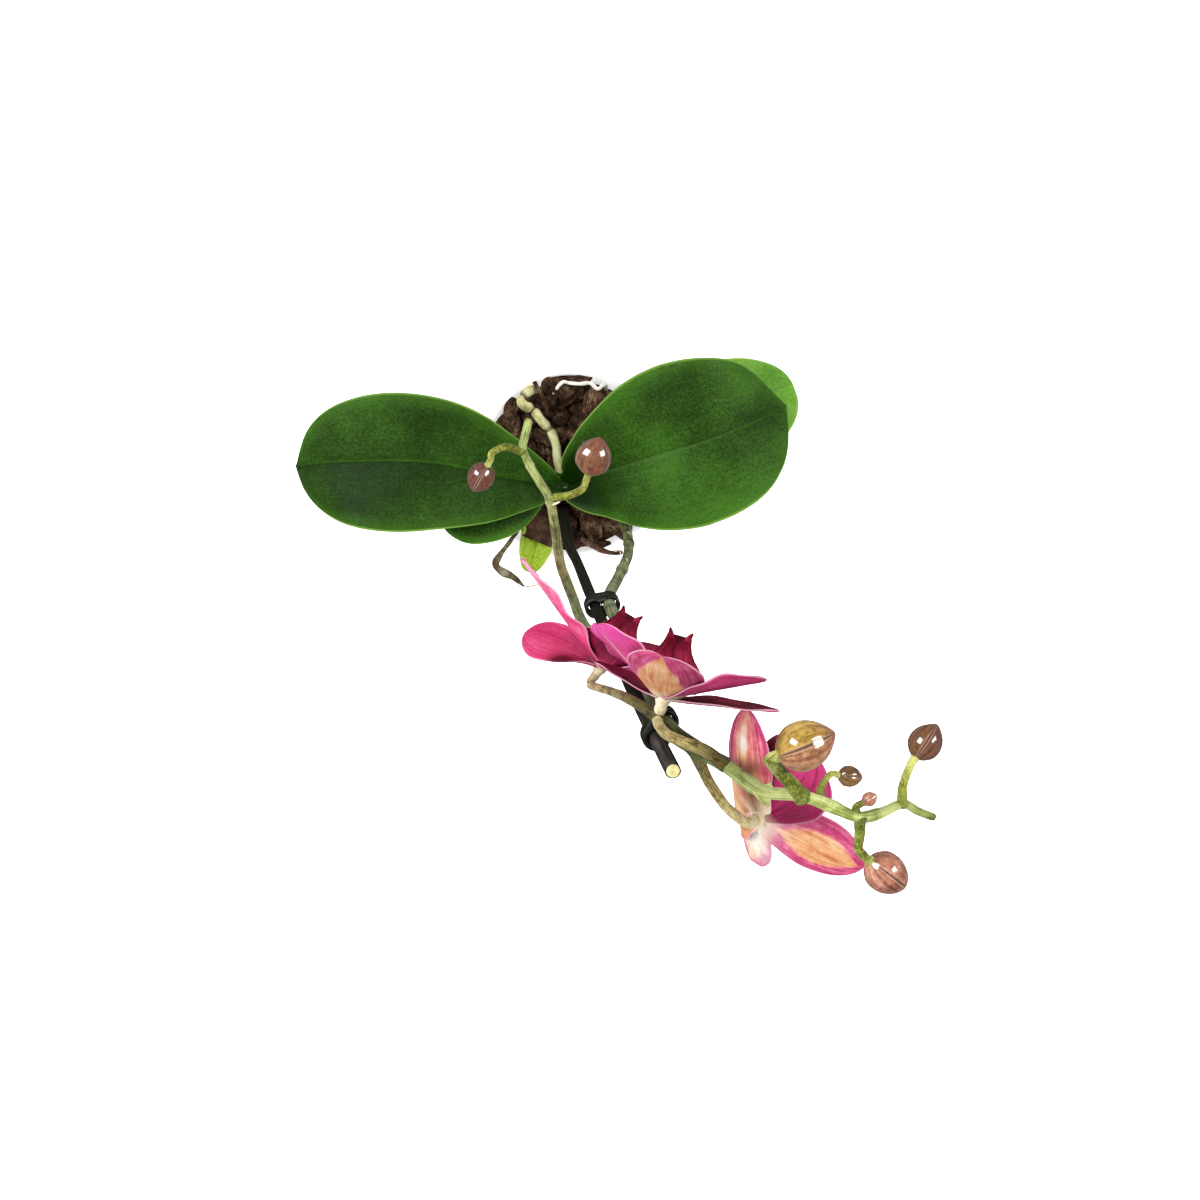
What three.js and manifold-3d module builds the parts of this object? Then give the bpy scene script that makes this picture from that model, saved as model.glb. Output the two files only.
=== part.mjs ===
// Potted moth orchid, seen from above in its photograph: a white pot of bark with five leaves,
// one staked flower spike with three open flowers, and an arching branch with two buds.
// Millimetres, +Z up. The origin is the centre of the pot's underside.
import * as THREE from 'three';
import Module from 'manifold-3d';

const wasm = await Module();
wasm.setup();

// Driving sizes
const GAP = 0.35; // between pieces that touch
const POT_HEIGHT = 112;
const POT_RIM_RADIUS = 61;
const POT_FOOT_RADIUS = 43;
const POT_WALL = 4.5;
const POT_FLOOR = 6;
const POT_SIDES = 36;
const RIM_BAND = 20; // height of the thicker band under the rim
const DRAIN_COUNT = 6;
const DRAIN_RADIUS = 4;
const DRAIN_RING = 24;
const BARK_TOP = 97;
const CHIP_COUNT = 28;
const CHIP_LENGTH = 17;
const CROWN_AT = [-6, -14];
const CROWN_RADIUS = 9.5;
const STAKE_RADIUS = 2.6;
const STEM_RADIUS = 2.8;
const LEAF_THICKNESS = 1.6;
const TEPAL_THICKNESS = 0.8;
const LIP_THICKNESS = 0.9;
const HUB_RADIUS = 2.6; // where the tepals of a flower meet

// Colours, from the photograph
const WHITE_GLAZE = { color: 0xf4f1e8, roughness: 0.25, metalness: 0 };
const BARK = { color: 0x4a3026, roughness: 0.9, metalness: 0 };
const LEAF_GREEN = { color: 0x1f5a1c, roughness: 0.4, metalness: 0 };
const PALE_LEAF = { color: 0x4f9a22, roughness: 0.45, metalness: 0 };
const YOUNG_LEAF = { color: 0x9cc23a, roughness: 0.45, metalness: 0 };
const STEM_GREEN = { color: 0x7d8f4c, roughness: 0.5, metalness: 0 };
const ROOT_CREAM = { color: 0xd9cfa8, roughness: 0.8, metalness: 0 };
const ROOT_DARK = { color: 0x5b5140, roughness: 0.85, metalness: 0 };
const BLACK_COAT = { color: 0x23221f, roughness: 0.5, metalness: 0 };
const MAGENTA = { color: 0xc2327a, roughness: 0.5, metalness: 0 };
const CRIMSON = { color: 0x7c1138, roughness: 0.45, metalness: 0 };
const BUD_TAN = { color: 0xa87860, roughness: 0.3, metalness: 0 };

const vec = ([x, y, z]) => new THREE.Vector3(x, y, z);

/** A repeatable stream of numbers from 0 to 1. */
function seededDraw(seed) {
  let state = seed;
  return () => {
    state = (state * 1664525 + 1013904223) % 4294967296;
    return state / 4294967296;
  };
}

/** A smooth curve through hand-placed points. */
function curveThrough(route) {
  return new THREE.CatmullRomCurve3(route.map(vec), false, 'catmullrom', 0.5);
}

/** Linear reading of a list of values spread evenly from 0 to 1. */
function along(values, t) {
  const place = t * (values.length - 1);
  const low = Math.min(Math.floor(place), values.length - 2);
  return THREE.MathUtils.lerp(values[low], values[low + 1], place - low);
}

function geometryFrom(points, faces) {
  const geometry = new THREE.BufferGeometry();
  const flat = points.flatMap((p) => [p.x, p.y, p.z]);
  geometry.setAttribute('position', new THREE.Float32BufferAttribute(flat, 3));
  geometry.setIndex(faces.flat());
  return geometry;
}

/** Closed solid through rings of equal count, with a fan at each end. */
function loft(rings) {
  const sides = rings[0].length;
  const points = rings.flat();
  const faces = [];
  for (let row = 0; row + 1 < rings.length; row++) {
    for (let side = 0; side < sides; side++) {
      const a = row * sides + side;
      const b = row * sides + ((side + 1) % sides);
      faces.push([a, b, b + sides], [a, b + sides, a + sides]);
    }
  }
  const first = points.length;
  points.push(middle(rings[0]), middle(rings.at(-1)));
  const last = (rings.length - 1) * sides;
  for (let side = 0; side < sides; side++) {
    const next = (side + 1) % sides;
    faces.push([first, next, side], [first + 1, last + side, last + next]);
  }
  return geometryFrom(points, faces);
}

function middle(ring) {
  const sum = new THREE.Vector3();
  ring.forEach((p) => sum.add(p));
  return sum.divideScalar(ring.length);
}

/** Round stem along a route; radii are spread evenly along it, and each end is a small dome. */
function stem(route, radii, { sides = 8, steps = 24, dome = 0.15 } = {}) {
  const curve = curveThrough(route);
  const frames = curve.computeFrenetFrames(steps, false);
  const ring = (row, reach, shrink) => {
    const radius = along(radii, row / steps);
    const centre = curve.getPointAt(row / steps).addScaledVector(frames.tangents[row], reach * radius);
    return Array.from({ length: sides }, (_, side) => {
      const angle = (side / sides) * 2 * Math.PI;
      return centre.clone()
        .addScaledVector(frames.normals[row], Math.cos(angle) * radius * shrink)
        .addScaledVector(frames.binormals[row], Math.sin(angle) * radius * shrink);
    });
  };
  const rings = [];
  if (dome) rings.push(ring(0, -dome, 0.6));
  for (let row = 0; row <= steps; row++) rings.push(ring(row, 0, 1));
  if (dome) rings.push(ring(steps, dome, 0.6));
  return loft(rings);
}

/** Half width of a blade as a share of its widest, from the base at 0 to the tip at 1. */
function outlineShare(t, { widest, base, roundness }) {
  if (t < widest) return base + (1 - base) * Math.sin((Math.PI / 2) * (t / widest));
  const past = (t - widest) / (1 - widest);
  return Math.max(0.05, (1 - past ** 2) ** roundness);
}

/**
 * Thin blade along a midrib, such as a leaf or a petal. face is the way its upper side looks at the base and
 * faceEnd at the tip. fold lifts both halves from the midrib and cup bends them on, both as a share of the
 * half width. wave ripples the margin.
 */
function blade(route, face, options) {
  const { width, thickness, rows, columns, outline, shares } = options;
  const { faceEnd = face, fold = 0, cup = 0, wave = 0, waves = 3 } = options;
  const curve = curveThrough(route);
  const [startFace, endFace] = [vec(face).normalize(), vec(faceEnd).normalize()];
  const sheet = [];
  for (let row = 0; row <= rows; row++) {
    const t = Math.sin((row / rows) * (Math.PI / 2)) ** 1.2;
    const tangent = curve.getTangentAt(t);
    const normal = startFace.clone().lerp(endFace, t);
    normal.addScaledVector(tangent, -normal.dot(tangent)).normalize();
    const side = tangent.clone().cross(normal);
    const share = shares ? along(shares, t) : outlineShare(t, outline);
    const half = (width / 2) * share;
    for (let column = 0; column <= columns; column++) {
      const u = (2 * column) / columns - 1;
      const ripple = wave * share * Math.abs(u) ** 3 * Math.sin(waves * 2 * Math.PI * t + (u > 0 ? 0.9 : 0));
      const lift = half * (fold * Math.abs(u) + cup * u * u) + ripple;
      sheet.push(curve.getPointAt(t).addScaledVector(side, half * u).addScaledVector(normal, lift));
    }
  }
  return thicken(sheet, rows, columns, thickness);
}

/** Turns a grid of points into a closed blade, split into triangles alike on both faces. */
function thicken(sheet, rows, columns, thickness) {
  const at = (row, column) => row * (columns + 1) + column;
  const clampTo = (value, most) => Math.min(Math.max(value, 0), most);
  const upper = [];
  const lower = [];
  for (let row = 0; row <= rows; row++) {
    for (let column = 0; column <= columns; column++) {
      const across = sheet[at(row, clampTo(column + 1, columns))].clone()
        .sub(sheet[at(row, clampTo(column - 1, columns))]);
      const onward = sheet[at(clampTo(row + 1, rows), column)].clone()
        .sub(sheet[at(clampTo(row - 1, rows), column)]);
      const normal = across.cross(onward).normalize();
      upper.push(sheet[at(row, column)].clone().addScaledVector(normal, thickness / 2));
      lower.push(sheet[at(row, column)].clone().addScaledVector(normal, -thickness / 2));
    }
  }
  const faces = [];
  const under = sheet.length;
  for (let row = 0; row < rows; row++) {
    for (let column = 0; column < columns; column++) {
      const [a, b] = [at(row, column), at(row, column + 1)];
      const [c, d] = [at(row + 1, column + 1), at(row + 1, column)];
      faces.push([a, b, c], [a, c, d], [under + a, under + c, under + b], [under + a, under + d, under + c]);
    }
  }
  const rim = [];
  for (let column = 0; column < columns; column++) rim.push(at(0, column));
  for (let row = 0; row < rows; row++) rim.push(at(row, columns));
  for (let column = columns; column > 0; column--) rim.push(at(rows, column));
  for (let row = rows; row > 0; row--) rim.push(at(row, 0));
  rim.forEach((a, place) => {
    const b = rim[(place + 1) % rim.length];
    faces.push([a, under + a, under + b], [a, under + b, b]);
  });
  return geometryFrom([...upper, ...lower], faces);
}

function toSolid(geometry) {
  const position = geometry.attributes.position;
  return new wasm.Manifold(new wasm.Mesh({
    numProp: 3,
    vertProperties: new Float32Array(position.array),
    triVerts: new Uint32Array(geometry.index.array),
  }));
}

function fromSolid(solid) {
  const mesh = solid.getMesh();
  const geometry = new THREE.BufferGeometry();
  geometry.setAttribute('position', new THREE.BufferAttribute(new Float32Array(mesh.vertProperties), 3));
  geometry.setIndex(new THREE.BufferAttribute(new Uint32Array(mesh.triVerts), 1));
  return geometry;
}

/** The main piece of a solid, without scraps or sealed hollows. */
function mainPiece(solid) {
  return solid.decompose().reduce((most, piece) => (piece.volume() > most.volume() ? piece : most));
}

/** Joins overlapping solids into one. */
function fuse(geometries) {
  const [first, ...rest] = geometries.map(toSolid);
  return fromSolid(mainPiece(rest.reduce((joined, solid) => joined.add(solid), first)));
}

/** Cuts the tools out of a body. */
function carve(geometry, tools) {
  const [body, ...cutters] = [geometry, ...tools].map(toSolid);
  return fromSolid(mainPiece(cutters.reduce((left, cutter) => left.subtract(cutter), body)));
}

/** Lathe of a closed profile of [radius, height] points that starts and ends on the axis. */
function turned(profile, segments) {
  const rings = profile.slice(1, -1).map(([radius, height]) =>
    Array.from({ length: segments }, (_, place) => {
      const angle = (place / segments) * 2 * Math.PI;
      return new THREE.Vector3(radius * Math.cos(angle), radius * Math.sin(angle), height);
    }));
  return loft(rings);
}

const plant = new THREE.Group();

function addPiece(name, geometry, look, parent = plant) {
  const mesh = new THREE.Mesh(geometry, new THREE.MeshStandardMaterial(look));
  mesh.name = name;
  parent.add(mesh);
  return mesh;
}

// Pot

/** Inner radius of the pot at a height. */
function potBore(height) {
  const slope = (POT_RIM_RADIUS - POT_WALL - 0.5 - (POT_FOOT_RADIUS - POT_WALL)) / (POT_HEIGHT - POT_FLOOR);
  return POT_FOOT_RADIUS - POT_WALL + slope * (height - POT_FLOOR);
}

function potGeometry() {
  const bandFoot = POT_HEIGHT - RIM_BAND;
  const outer = (height) => potBore(height) + POT_WALL - 1.2;
  const body = turned([
    [0, 0],
    [POT_FOOT_RADIUS - 2, 0],
    [POT_FOOT_RADIUS, 2],
    [outer(bandFoot - 2), bandFoot - 2],
    [POT_RIM_RADIUS - 1.4, bandFoot],
    [POT_RIM_RADIUS, POT_HEIGHT - 3],
    [POT_RIM_RADIUS - 0.9, POT_HEIGHT - 0.9],
    [POT_RIM_RADIUS - 2.5, POT_HEIGHT],
    [potBore(POT_HEIGHT) + 1.6, POT_HEIGHT - 0.3],
    [potBore(POT_HEIGHT) + 0.2, POT_HEIGHT - 1.8],
    [potBore(POT_FLOOR) + 0.2, POT_FLOOR + 1],
    [potBore(POT_FLOOR) - 2, POT_FLOOR],
    [0, POT_FLOOR],
  ], POT_SIDES);
  const drains = Array.from({ length: DRAIN_COUNT }, (_, place) => {
    const angle = ((place + 0.5) / DRAIN_COUNT) * 2 * Math.PI;
    const [x, y] = [DRAIN_RING * Math.cos(angle), DRAIN_RING * Math.sin(angle)];
    const through = [[x, y, -2], [x, y, POT_FLOOR + 2]];
    return stem(through, [DRAIN_RADIUS, DRAIN_RADIUS], { sides: 12, steps: 1, dome: 0 });
  });
  return carve(body, drains);
}

addPiece('pot', potGeometry(), WHITE_GLAZE);

// Routes of everything that stands in the bark
const CROWN_FORM = { sides: 12, steps: 5 };
const STAKE_FORM = { sides: 10, steps: 13 };
const ROOT_FORM = { sides: 6, steps: 16 };
const STAKE_ROUTE = [
  [-9, -23.5, 30], [-5.5, -26.7, 100], [-2, -42.2, 211], [3, -50.5, 270], [10.3, -63.8, 364],
  [17.9, -76, 450], [24.2, -85.9, 519], [31.7, -96.4, 590],
];
const ROOT_ARCHED_ROUTE = [
  [-19, 44, 84], [-24, 45, 98], [-30.5, 39.5, 105], [-29, 35.5, 108], [-23, 32, 106],
  [-18.5, 26, 108], [-13, 20, 106], [-9.7, 12, 109], [-8.8, 4, 112], [-7.6, -4.3, 113],
];
const ROOT_ARCHED_RADII = [2.2, 2.4, 3, 2.5, 3.1, 2.5, 2.9, 2.4, 2.5, 2.2];
const ROOT_THIN_RADII = [1, 1.2, 1, 1.2, 1.1, 1];
const ROOT_THIN_ROUTE = [
  [-12, 38, 92], [-10, 44, 104], [-5.5, 49, 107], [-1, 48.5, 106], [5, 48, 107],
  [11, 48.5, 106], [15.5, 45, 107], [18.5, 47, 107.5], [20.5, 47.5, 103], [21, 45, 92],
];
const ROOT_CURLED_RADII = [1.4, 1.4, 1.3, 1.4, 2.2, 2.6, 0.7];
const ROOT_CURLED_ROUTE = [
  [-30, -33, 88], [-32, -38, 103], [-37, -46, 116], [-43, -54, 119], [-46, -60, 117.5],
  [-42, -64.5, 116], [-35.5, -68, 114], [-29.5, -73.5, 110],
];
const ROOT_STUB_ROUTE = [[3, -42, 90], [7, -46, 103], [14, -50, 112.5], [22, -53, 116], [29.5, -53, 116]];

const ROOT_PIECES = [
  { name: 'root_arched', route: ROOT_ARCHED_ROUTE, radii: ROOT_ARCHED_RADII, look: ROOT_CREAM },
  { name: 'root_thin', route: ROOT_THIN_ROUTE, radii: ROOT_THIN_RADII, look: ROOT_CREAM },
  { name: 'root_curled', route: ROOT_CURLED_ROUTE, radii: ROOT_CURLED_RADII, look: ROOT_DARK },
  { name: 'root_stub', route: ROOT_STUB_ROUTE, radii: [1.6, 1.9, 1.7, 1.3], look: ROOT_DARK },
];

// Bark

/** One broken chip: a wedge-shaped block turned and tilted at random. */
function barkChip(centre, draw) {
  const [length, breadth, depth] = [CHIP_LENGTH * (0.6 + 0.6 * draw()), 7 + 5 * draw(), 4 + 3 * draw()];
  const turn = new THREE.Quaternion().setFromEuler(
    new THREE.Euler((draw() - 0.5) * 0.7, (draw() - 0.5) * 0.7, draw() * 2 * Math.PI));
  const ring = (x, shrink) => [[-1, -1], [1, -0.8], [0.8, 1], [-0.9, 0.9]].map(([side, rise]) =>
    new THREE.Vector3(x, (breadth / 2) * side * shrink * (0.8 + 0.3 * draw()), (depth / 2) * rise * shrink)
      .applyQuaternion(turn).add(centre));
  return loft([ring(-length / 2, 0.6), ring(-length / 5, 1), ring(length / 4, 0.95), ring(length / 2, 0.5)]);
}

function barkGeometry() {
  const draw = seededDraw(7);
  const bed = turned([
    [0, POT_FLOOR + GAP],
    [potBore(POT_FLOOR) - 2.6, POT_FLOOR + GAP],
    [potBore(POT_FLOOR + 4) - GAP, POT_FLOOR + 4],
    [potBore(BARK_TOP - 4) - GAP - 0.4, BARK_TOP - 4],
    [0.9 * potBore(BARK_TOP), BARK_TOP],
    [0, BARK_TOP],
  ], POT_SIDES);
  const golden = Math.PI * (3 - Math.sqrt(5));
  const reach = potBore(BARK_TOP) - 0.55 * CHIP_LENGTH - 1;
  const chips = Array.from({ length: CHIP_COUNT }, (_, place) => {
    const radius = reach * Math.sqrt((place + 0.5) / CHIP_COUNT);
    const angle = place * golden;
    const height = BARK_TOP - 0.5 + 3 * draw();
    return barkChip(new THREE.Vector3(radius * Math.cos(angle), radius * Math.sin(angle), height), draw);
  });
  const clear = GAP + 0.1;
  const socket = (route, radii, form) =>
    stem(route, radii.map((radius) => radius + clear), { ...form, dome: 0.4 });
  return carve(fuse([bed, ...chips]), [
    socket(crownRoute(), [CROWN_RADIUS, CROWN_RADIUS], CROWN_FORM),
    socket(STAKE_ROUTE, [STAKE_RADIUS, STAKE_RADIUS], STAKE_FORM),
    ...ROOT_PIECES.map((root) => socket(root.route, root.radii, ROOT_FORM)),
  ]);
}

// Crown and leaves

function crownRoute() {
  const [x, y] = CROWN_AT;
  return [[x, y, 84], [x, y, 104], [x, y, 124]];
}

function crownGeometry() {
  const radii = [0.9, 1, 1, 0.97, 0.62].map((share) => share * CROWN_RADIUS);
  return stem(crownRoute(), radii, CROWN_FORM);
}

addPiece('crown', crownGeometry(), PALE_LEAF);

const BROAD_LEAF = { widest: 0.56, base: 0.24, roundness: 0.5 };
const LEAF_PIECES = [
  {
    name: 'leaf_upper_left', look: LEAF_GREEN, width: 80, fold: 0.16, cup: -0.05, wave: 1.2,
    outline: { widest: 0.6, base: 0.28, roundness: 0.52 },
    route: [[-15.2, -12.6, 117], [-46, -7, 139], [-82, 0, 150], [-128, 0.6, 146], [-162, -1.2, 131]],
  },
  {
    name: 'leaf_upper_right', look: LEAF_GREEN, width: 96, fold: 0.14, cup: -0.06, wave: 1.2,
    outline: { widest: 0.54, base: 0.28, roundness: 0.54 },
    route: [
      [2.8, -11, 117.5], [22, -3, 138], [51, 6.5, 155], [81, 16, 159], [105, 25.5, 153], [125, 34, 137],
    ],
  },
  {
    name: 'leaf_lower_left', look: PALE_LEAF, width: 43, fold: 0.18, cup: 0, wave: 0.8, outline: BROAD_LEAF,
    route: [[-16.8, -14.5, 107], [-35, -20, 122], [-58, -27, 128], [-79, -33, 122]],
  },
  {
    name: 'leaf_lower_right', look: PALE_LEAF, width: 68, fold: 0.15, cup: 0, wave: 1, outline: BROAD_LEAF,
    route: [[3.5, -10, 107], [39, 7, 129], [77, 23, 136], [110, 37, 129], [131, 48, 117]],
  },
  {
    name: 'leaf_small_front', look: YOUNG_LEAF, width: 20, fold: 0.25, cup: 0, wave: 0.5,
    outline: { widest: 0.56, base: 0.34, roundness: 0.85 },
    route: [[-13.5, -22.3, 106.5], [-18.5, -36, 111], [-22, -50, 116], [-24.5, -60, 116], [-26, -65, 110.5]],
  },
];

function leafGeometry({ route, width, outline, fold, cup, wave }) {
  return blade(route, [0, 0, 1], {
    width, thickness: LEAF_THICKNESS, outline, fold, cup, wave,
    rows: 12, columns: 6,
  });
}

LEAF_PIECES.forEach((leaf) => addPiece(leaf.name, leafGeometry(leaf), leaf.look));
addPiece('bark_bed', barkGeometry(), BARK);
ROOT_PIECES.forEach(({ name, route, radii, look }) => addPiece(name, stem(route, radii, ROOT_FORM), look));

// Stake and clips
addPiece('stake', stem(STAKE_ROUTE, [STAKE_RADIUS, STAKE_RADIUS], STAKE_FORM), BLACK_COAT);

const CLIPS = [
  {
    name: 'clip_lower', height: 11,
    stakeAt: [10.3, -63.8, 364], stemAt: [16.6, -62.6, 364], axis: [0.045, -0.108, 1],
  },
  {
    name: 'clip_upper', height: 6.5,
    stakeAt: [27.9, -90.9, 554.6], stemAt: [30.6, -85.7, 554.6], axis: [0.1, -0.15, 1],
  },
];
const CLIP_WALL = 1.3;
const CLIP_PLAY = 0.8; // room round the stake and the stem, which lean apart inside the clip

/** Collar round the stake and the stem: a capsule outline with two round bores that run together. */
function clipGeometry({ stakeAt, stemAt, axis, height }) {
  const [from, to, upward] = [vec(stakeAt), vec(stemAt), vec(axis).normalize()];
  const across = to.clone().sub(from);
  across.addScaledVector(upward, -across.dot(upward));
  const reach = across.length();
  const stakeBore = STAKE_RADIUS + CLIP_PLAY;
  const stemBore = STEM_RADIUS + CLIP_PLAY;
  const outer = stemBore + CLIP_WALL;
  const outline = new THREE.Shape();
  outline.absarc(0, 0, outer, Math.PI / 2, 1.5 * Math.PI, false);
  outline.absarc(reach, 0, outer, -Math.PI / 2, Math.PI / 2, false);
  outline.closePath();
  const meet = (reach ** 2 + stakeBore ** 2 - stemBore ** 2) / (2 * reach);
  const fromStake = Math.acos(meet / stakeBore);
  const fromStem = Math.acos((reach - meet) / stemBore);
  const bores = new THREE.Path();
  bores.absarc(0, 0, stakeBore, fromStake, 2 * Math.PI - fromStake, false);
  bores.absarc(reach, 0, stemBore, Math.PI + fromStem, 3 * Math.PI - fromStem, false);
  bores.closePath();
  outline.holes.push(bores);
  const extrusion = { depth: height, bevelEnabled: false, curveSegments: 5 };
  const collar = new THREE.ExtrudeGeometry(outline, extrusion);
  collar.translate(0, 0, -height / 2);
  across.normalize();
  const turn = new THREE.Matrix4().makeBasis(across, upward.clone().cross(across), upward);
  collar.applyMatrix4(turn.setPosition(from));
  return collar;
}

CLIPS.forEach((clip) => addPiece(clip.name, clipGeometry(clip), BLACK_COAT));

// Flowers
const DEGREE = Math.PI / 180;
const SEPAL = { widest: 0.52, base: 0.3, roundness: 0.6 };
const PETAL = { widest: 0.6, base: 0.16, roundness: 0.5 };
const DORSAL = { angle: 90, lean: 26, length: 36, width: 26, outline: SEPAL, cup: 0.24, bend: 0.05 };
const LEFT_PETAL = { angle: 18, lean: 30, length: 35, width: 33, outline: PETAL, cup: 0.12, wave: 0.8 };
const RIGHT_PETAL = { ...LEFT_PETAL, angle: 162 };
const LEFT_SEPAL = { angle: -32, lean: 8, length: 38, width: 18, outline: SEPAL, cup: 0.12 };
const RIGHT_SEPAL = { ...LEFT_SEPAL, angle: -148 };
const BROAD_SEPAL = { widest: 0.5, base: 0.5, roundness: 0.6 };

const FLOWER_1 = {
  centre: [10, -73, 515], facing: [0.51, 0.86, 0.02], up: [0, 0, 1],
  tepals: [
    { ...DORSAL, length: 31 },
    { ...LEFT_PETAL, lean: 24, length: 50.5, width: 32 },
    { ...RIGHT_PETAL, bend: -0.24 },
    { ...LEFT_SEPAL, angle: -16, twist: -52, lean: -8, length: 31, width: 26, outline: BROAD_SEPAL },
    { ...RIGHT_SEPAL, angle: -135, lean: 32, bend: -0.1 },
  ],
};
const FLOWER_2 = {
  centre: [30, -77.6, 563], facing: [0.27, 0.96, 0], up: [0, 0, 1],
  tepals: [
    { ...DORSAL, angle: 78, lean: 25 },
    { ...LEFT_PETAL, lean: 33, twist: 13 },
    { ...RIGHT_PETAL, lean: 28, twist: -8, wave: 0.2 },
    { ...LEFT_SEPAL, angle: -38, length: 30 },
    { ...RIGHT_SEPAL, angle: -174, lean: 9, length: 39.5 },
  ],
};
const FLOWER_3 = {
  centre: [63.8, -120, 552], facing: [0.76, 0.06, -0.64], up: [-0.15, 1, 0],
  tepals: [
    { ...DORSAL, angle: 97, lean: -6, length: 38, width: 19, outline: BROAD_SEPAL },
    LEFT_PETAL,
    { ...RIGHT_PETAL, angle: 133, lean: 10, length: 32 },
    { ...LEFT_SEPAL, angle: -38, lean: 30 },
    { ...RIGHT_SEPAL, angle: -144, lean: 32, width: 22.5, outline: BROAD_SEPAL },
  ],
};
const FLOWERS = { 1: FLOWER_1, 2: FLOWER_2, 3: FLOWER_3 };

/** Axes of a flower: ahead is where it faces, rise is where its dorsal sepal points. */
function flowerAxes({ facing, up }) {
  const ahead = vec(facing).normalize();
  const rise = vec(up).addScaledVector(ahead, -vec(up).dot(ahead)).normalize();
  return { ahead, rise, aside: rise.clone().cross(ahead) };
}

/**
 * One sepal or petal. angle goes round the flower's face from one side, with 90 at the top. lean tips it
 * forward, twist turns it about its own length, and bend curls its tip forward.
 */
function tepal(flower, form) {
  const { angle, lean, twist = 0, bend = 0, length, width, outline, cup = 0, wave = 0 } = form;
  const { ahead, rise, aside } = flowerAxes(flower);
  const [forward, outward] = [Math.sin(lean * DEGREE), Math.cos(lean * DEGREE)];
  const out = aside.clone().multiplyScalar(Math.cos(angle * DEGREE))
    .addScaledVector(rise, Math.sin(angle * DEGREE));
  const line = out.clone().multiplyScalar(outward).addScaledVector(ahead, forward);
  const face = ahead.clone().multiplyScalar(outward).addScaledVector(out, -forward);
  const turnedFace = face.clone().applyAxisAngle(line, twist * DEGREE);
  const route = [0, 0.35, 0.7, 1].map((t) =>
    vec(flower.centre).addScaledVector(line, 0.8 + t * (length - 0.8))
      .addScaledVector(turnedFace, bend * length * t * t).toArray());
  return blade(route, face.toArray(), {
    faceEnd: turnedFace.toArray(), width, thickness: TEPAL_THICKNESS, outline, cup, wave,
    rows: outline === PETAL ? 7 : 6, columns: outline === PETAL ? 6 : 4,
  });
}

function flowerGeometry(flower) {
  const { ahead } = flowerAxes(flower);
  const onAxis = (forward) => vec(flower.centre).addScaledVector(ahead, forward).toArray();
  const hub = stem([onAxis(-2.2), onAxis(0), onAxis(1.2)], [0.75, 1, 0.9].map((share) => share * HUB_RADIUS),
    { steps: 2 });
  return fuse([hub, ...flower.tepals.map((one) => tepal(flower, one))]);
}

/** Lip and column: a trowel-shaped blade with two horns and two upright side lobes under a short column. */
function lipGeometry(flower) {
  const { ahead, rise, aside } = flowerAxes(flower);
  const at = (forward, up, sideways) => vec(flower.centre)
    .addScaledVector(ahead, forward).addScaledVector(rise, up).addScaledVector(aside, sideways).toArray();
  const trowelRoute = [at(3.4, -2, 0), at(8, -4.4, 0), at(15, -5.4, 0), at(21.5, -4.6, 0)];
  const trowel = blade(trowelRoute, rise.toArray(), {
    width: 22, thickness: LIP_THICKNESS, rows: 7, columns: 4, fold: 0.12, cup: 0.02,
    shares: [0.2, 0.6, 0.98, 1, 0.84, 0.64, 0.5, 0.42, 0.38],
  });
  const hornRoute = (hand) =>
    [at(20.4, -4.7, 2.6 * hand), at(21.9, -4.3, 3.3 * hand), at(23.1, -3.5, 3.8 * hand)];
  const horns = [1, -1].map((hand) =>
    stem(hornRoute(hand), [1.1, 0.9, 0.5], { sides: 4, steps: 2, dome: 0 }));
  const lobes = [1, -1].map((hand) =>
    blade([at(4.4, -3, 1.4 * hand), at(6.3, -0.6, 4 * hand), at(7.4, 2.4, 5.2 * hand)],
      aside.clone().multiplyScalar(-hand).toArray(),
      { width: 6.5, thickness: LIP_THICKNESS, rows: 3, columns: 2, cup: 0.2, outline: PETAL }));
  const columnRoute = [at(2.4, 0.2, 0), at(5, 0.6, 0), at(8.4, 0.2, 0)];
  const column = stem(columnRoute, [1.8, 1.9, 1.8], { sides: 6, steps: 2 });
  const foot = stem([at(3.6, -0.4, 0), at(4.4, -3, 0)], [1.5, 1.3], { sides: 6, steps: 1, dome: 0 });
  return fuse([column, foot, trowel, ...horns, ...lobes]);
}

Object.entries(FLOWERS).forEach(([name, flower]) => {
  addPiece(`flower_${name}`, flowerGeometry(flower), MAGENTA);
  addPiece(`lip_${name}`, lipGeometry(flower), CRIMSON);
});

// Buds
const BUD_PLACES = [0, 0.08, 0.24, 0.42, 0.6, 0.77, 0.91, 1];
const BUD_SHARES = [0.24, 0.56, 0.9, 1, 0.95, 0.74, 0.4, 0.1];
const BUD_SIDES = 9;
const SEAM_DEPTH = 0.07;
const BUDS = {
  bud_branch_left: { base: [-29.4, -0.4, 526.5], tip: [-34.9, -9.4, 521], width: 9.4 },
  bud_branch_right: { base: [5.6, -3.4, 531.6], tip: [9.6, 8.9, 537], width: 12.4 },
  bud_big: { base: [62.2, -88.4, 609.4], tip: [80, -81.8, 606.5], width: 15.4 },
  bud_small: { base: [84.3, -98.3, 588], tip: [92.3, -99.6, 586], width: 6.8 },
  bud_tiny: { base: [91.5, -106.4, 592.2], tip: [95.4, -103.4, 594], width: 4.6 },
  bud_top: { base: [107.8, -92.2, 592], tip: [115.2, -82, 589.5], width: 10.6 },
  bud_low: { base: [96.3, -128, 580], tip: [108.8, -138.3, 573.5], width: 13.4 },
};

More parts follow.
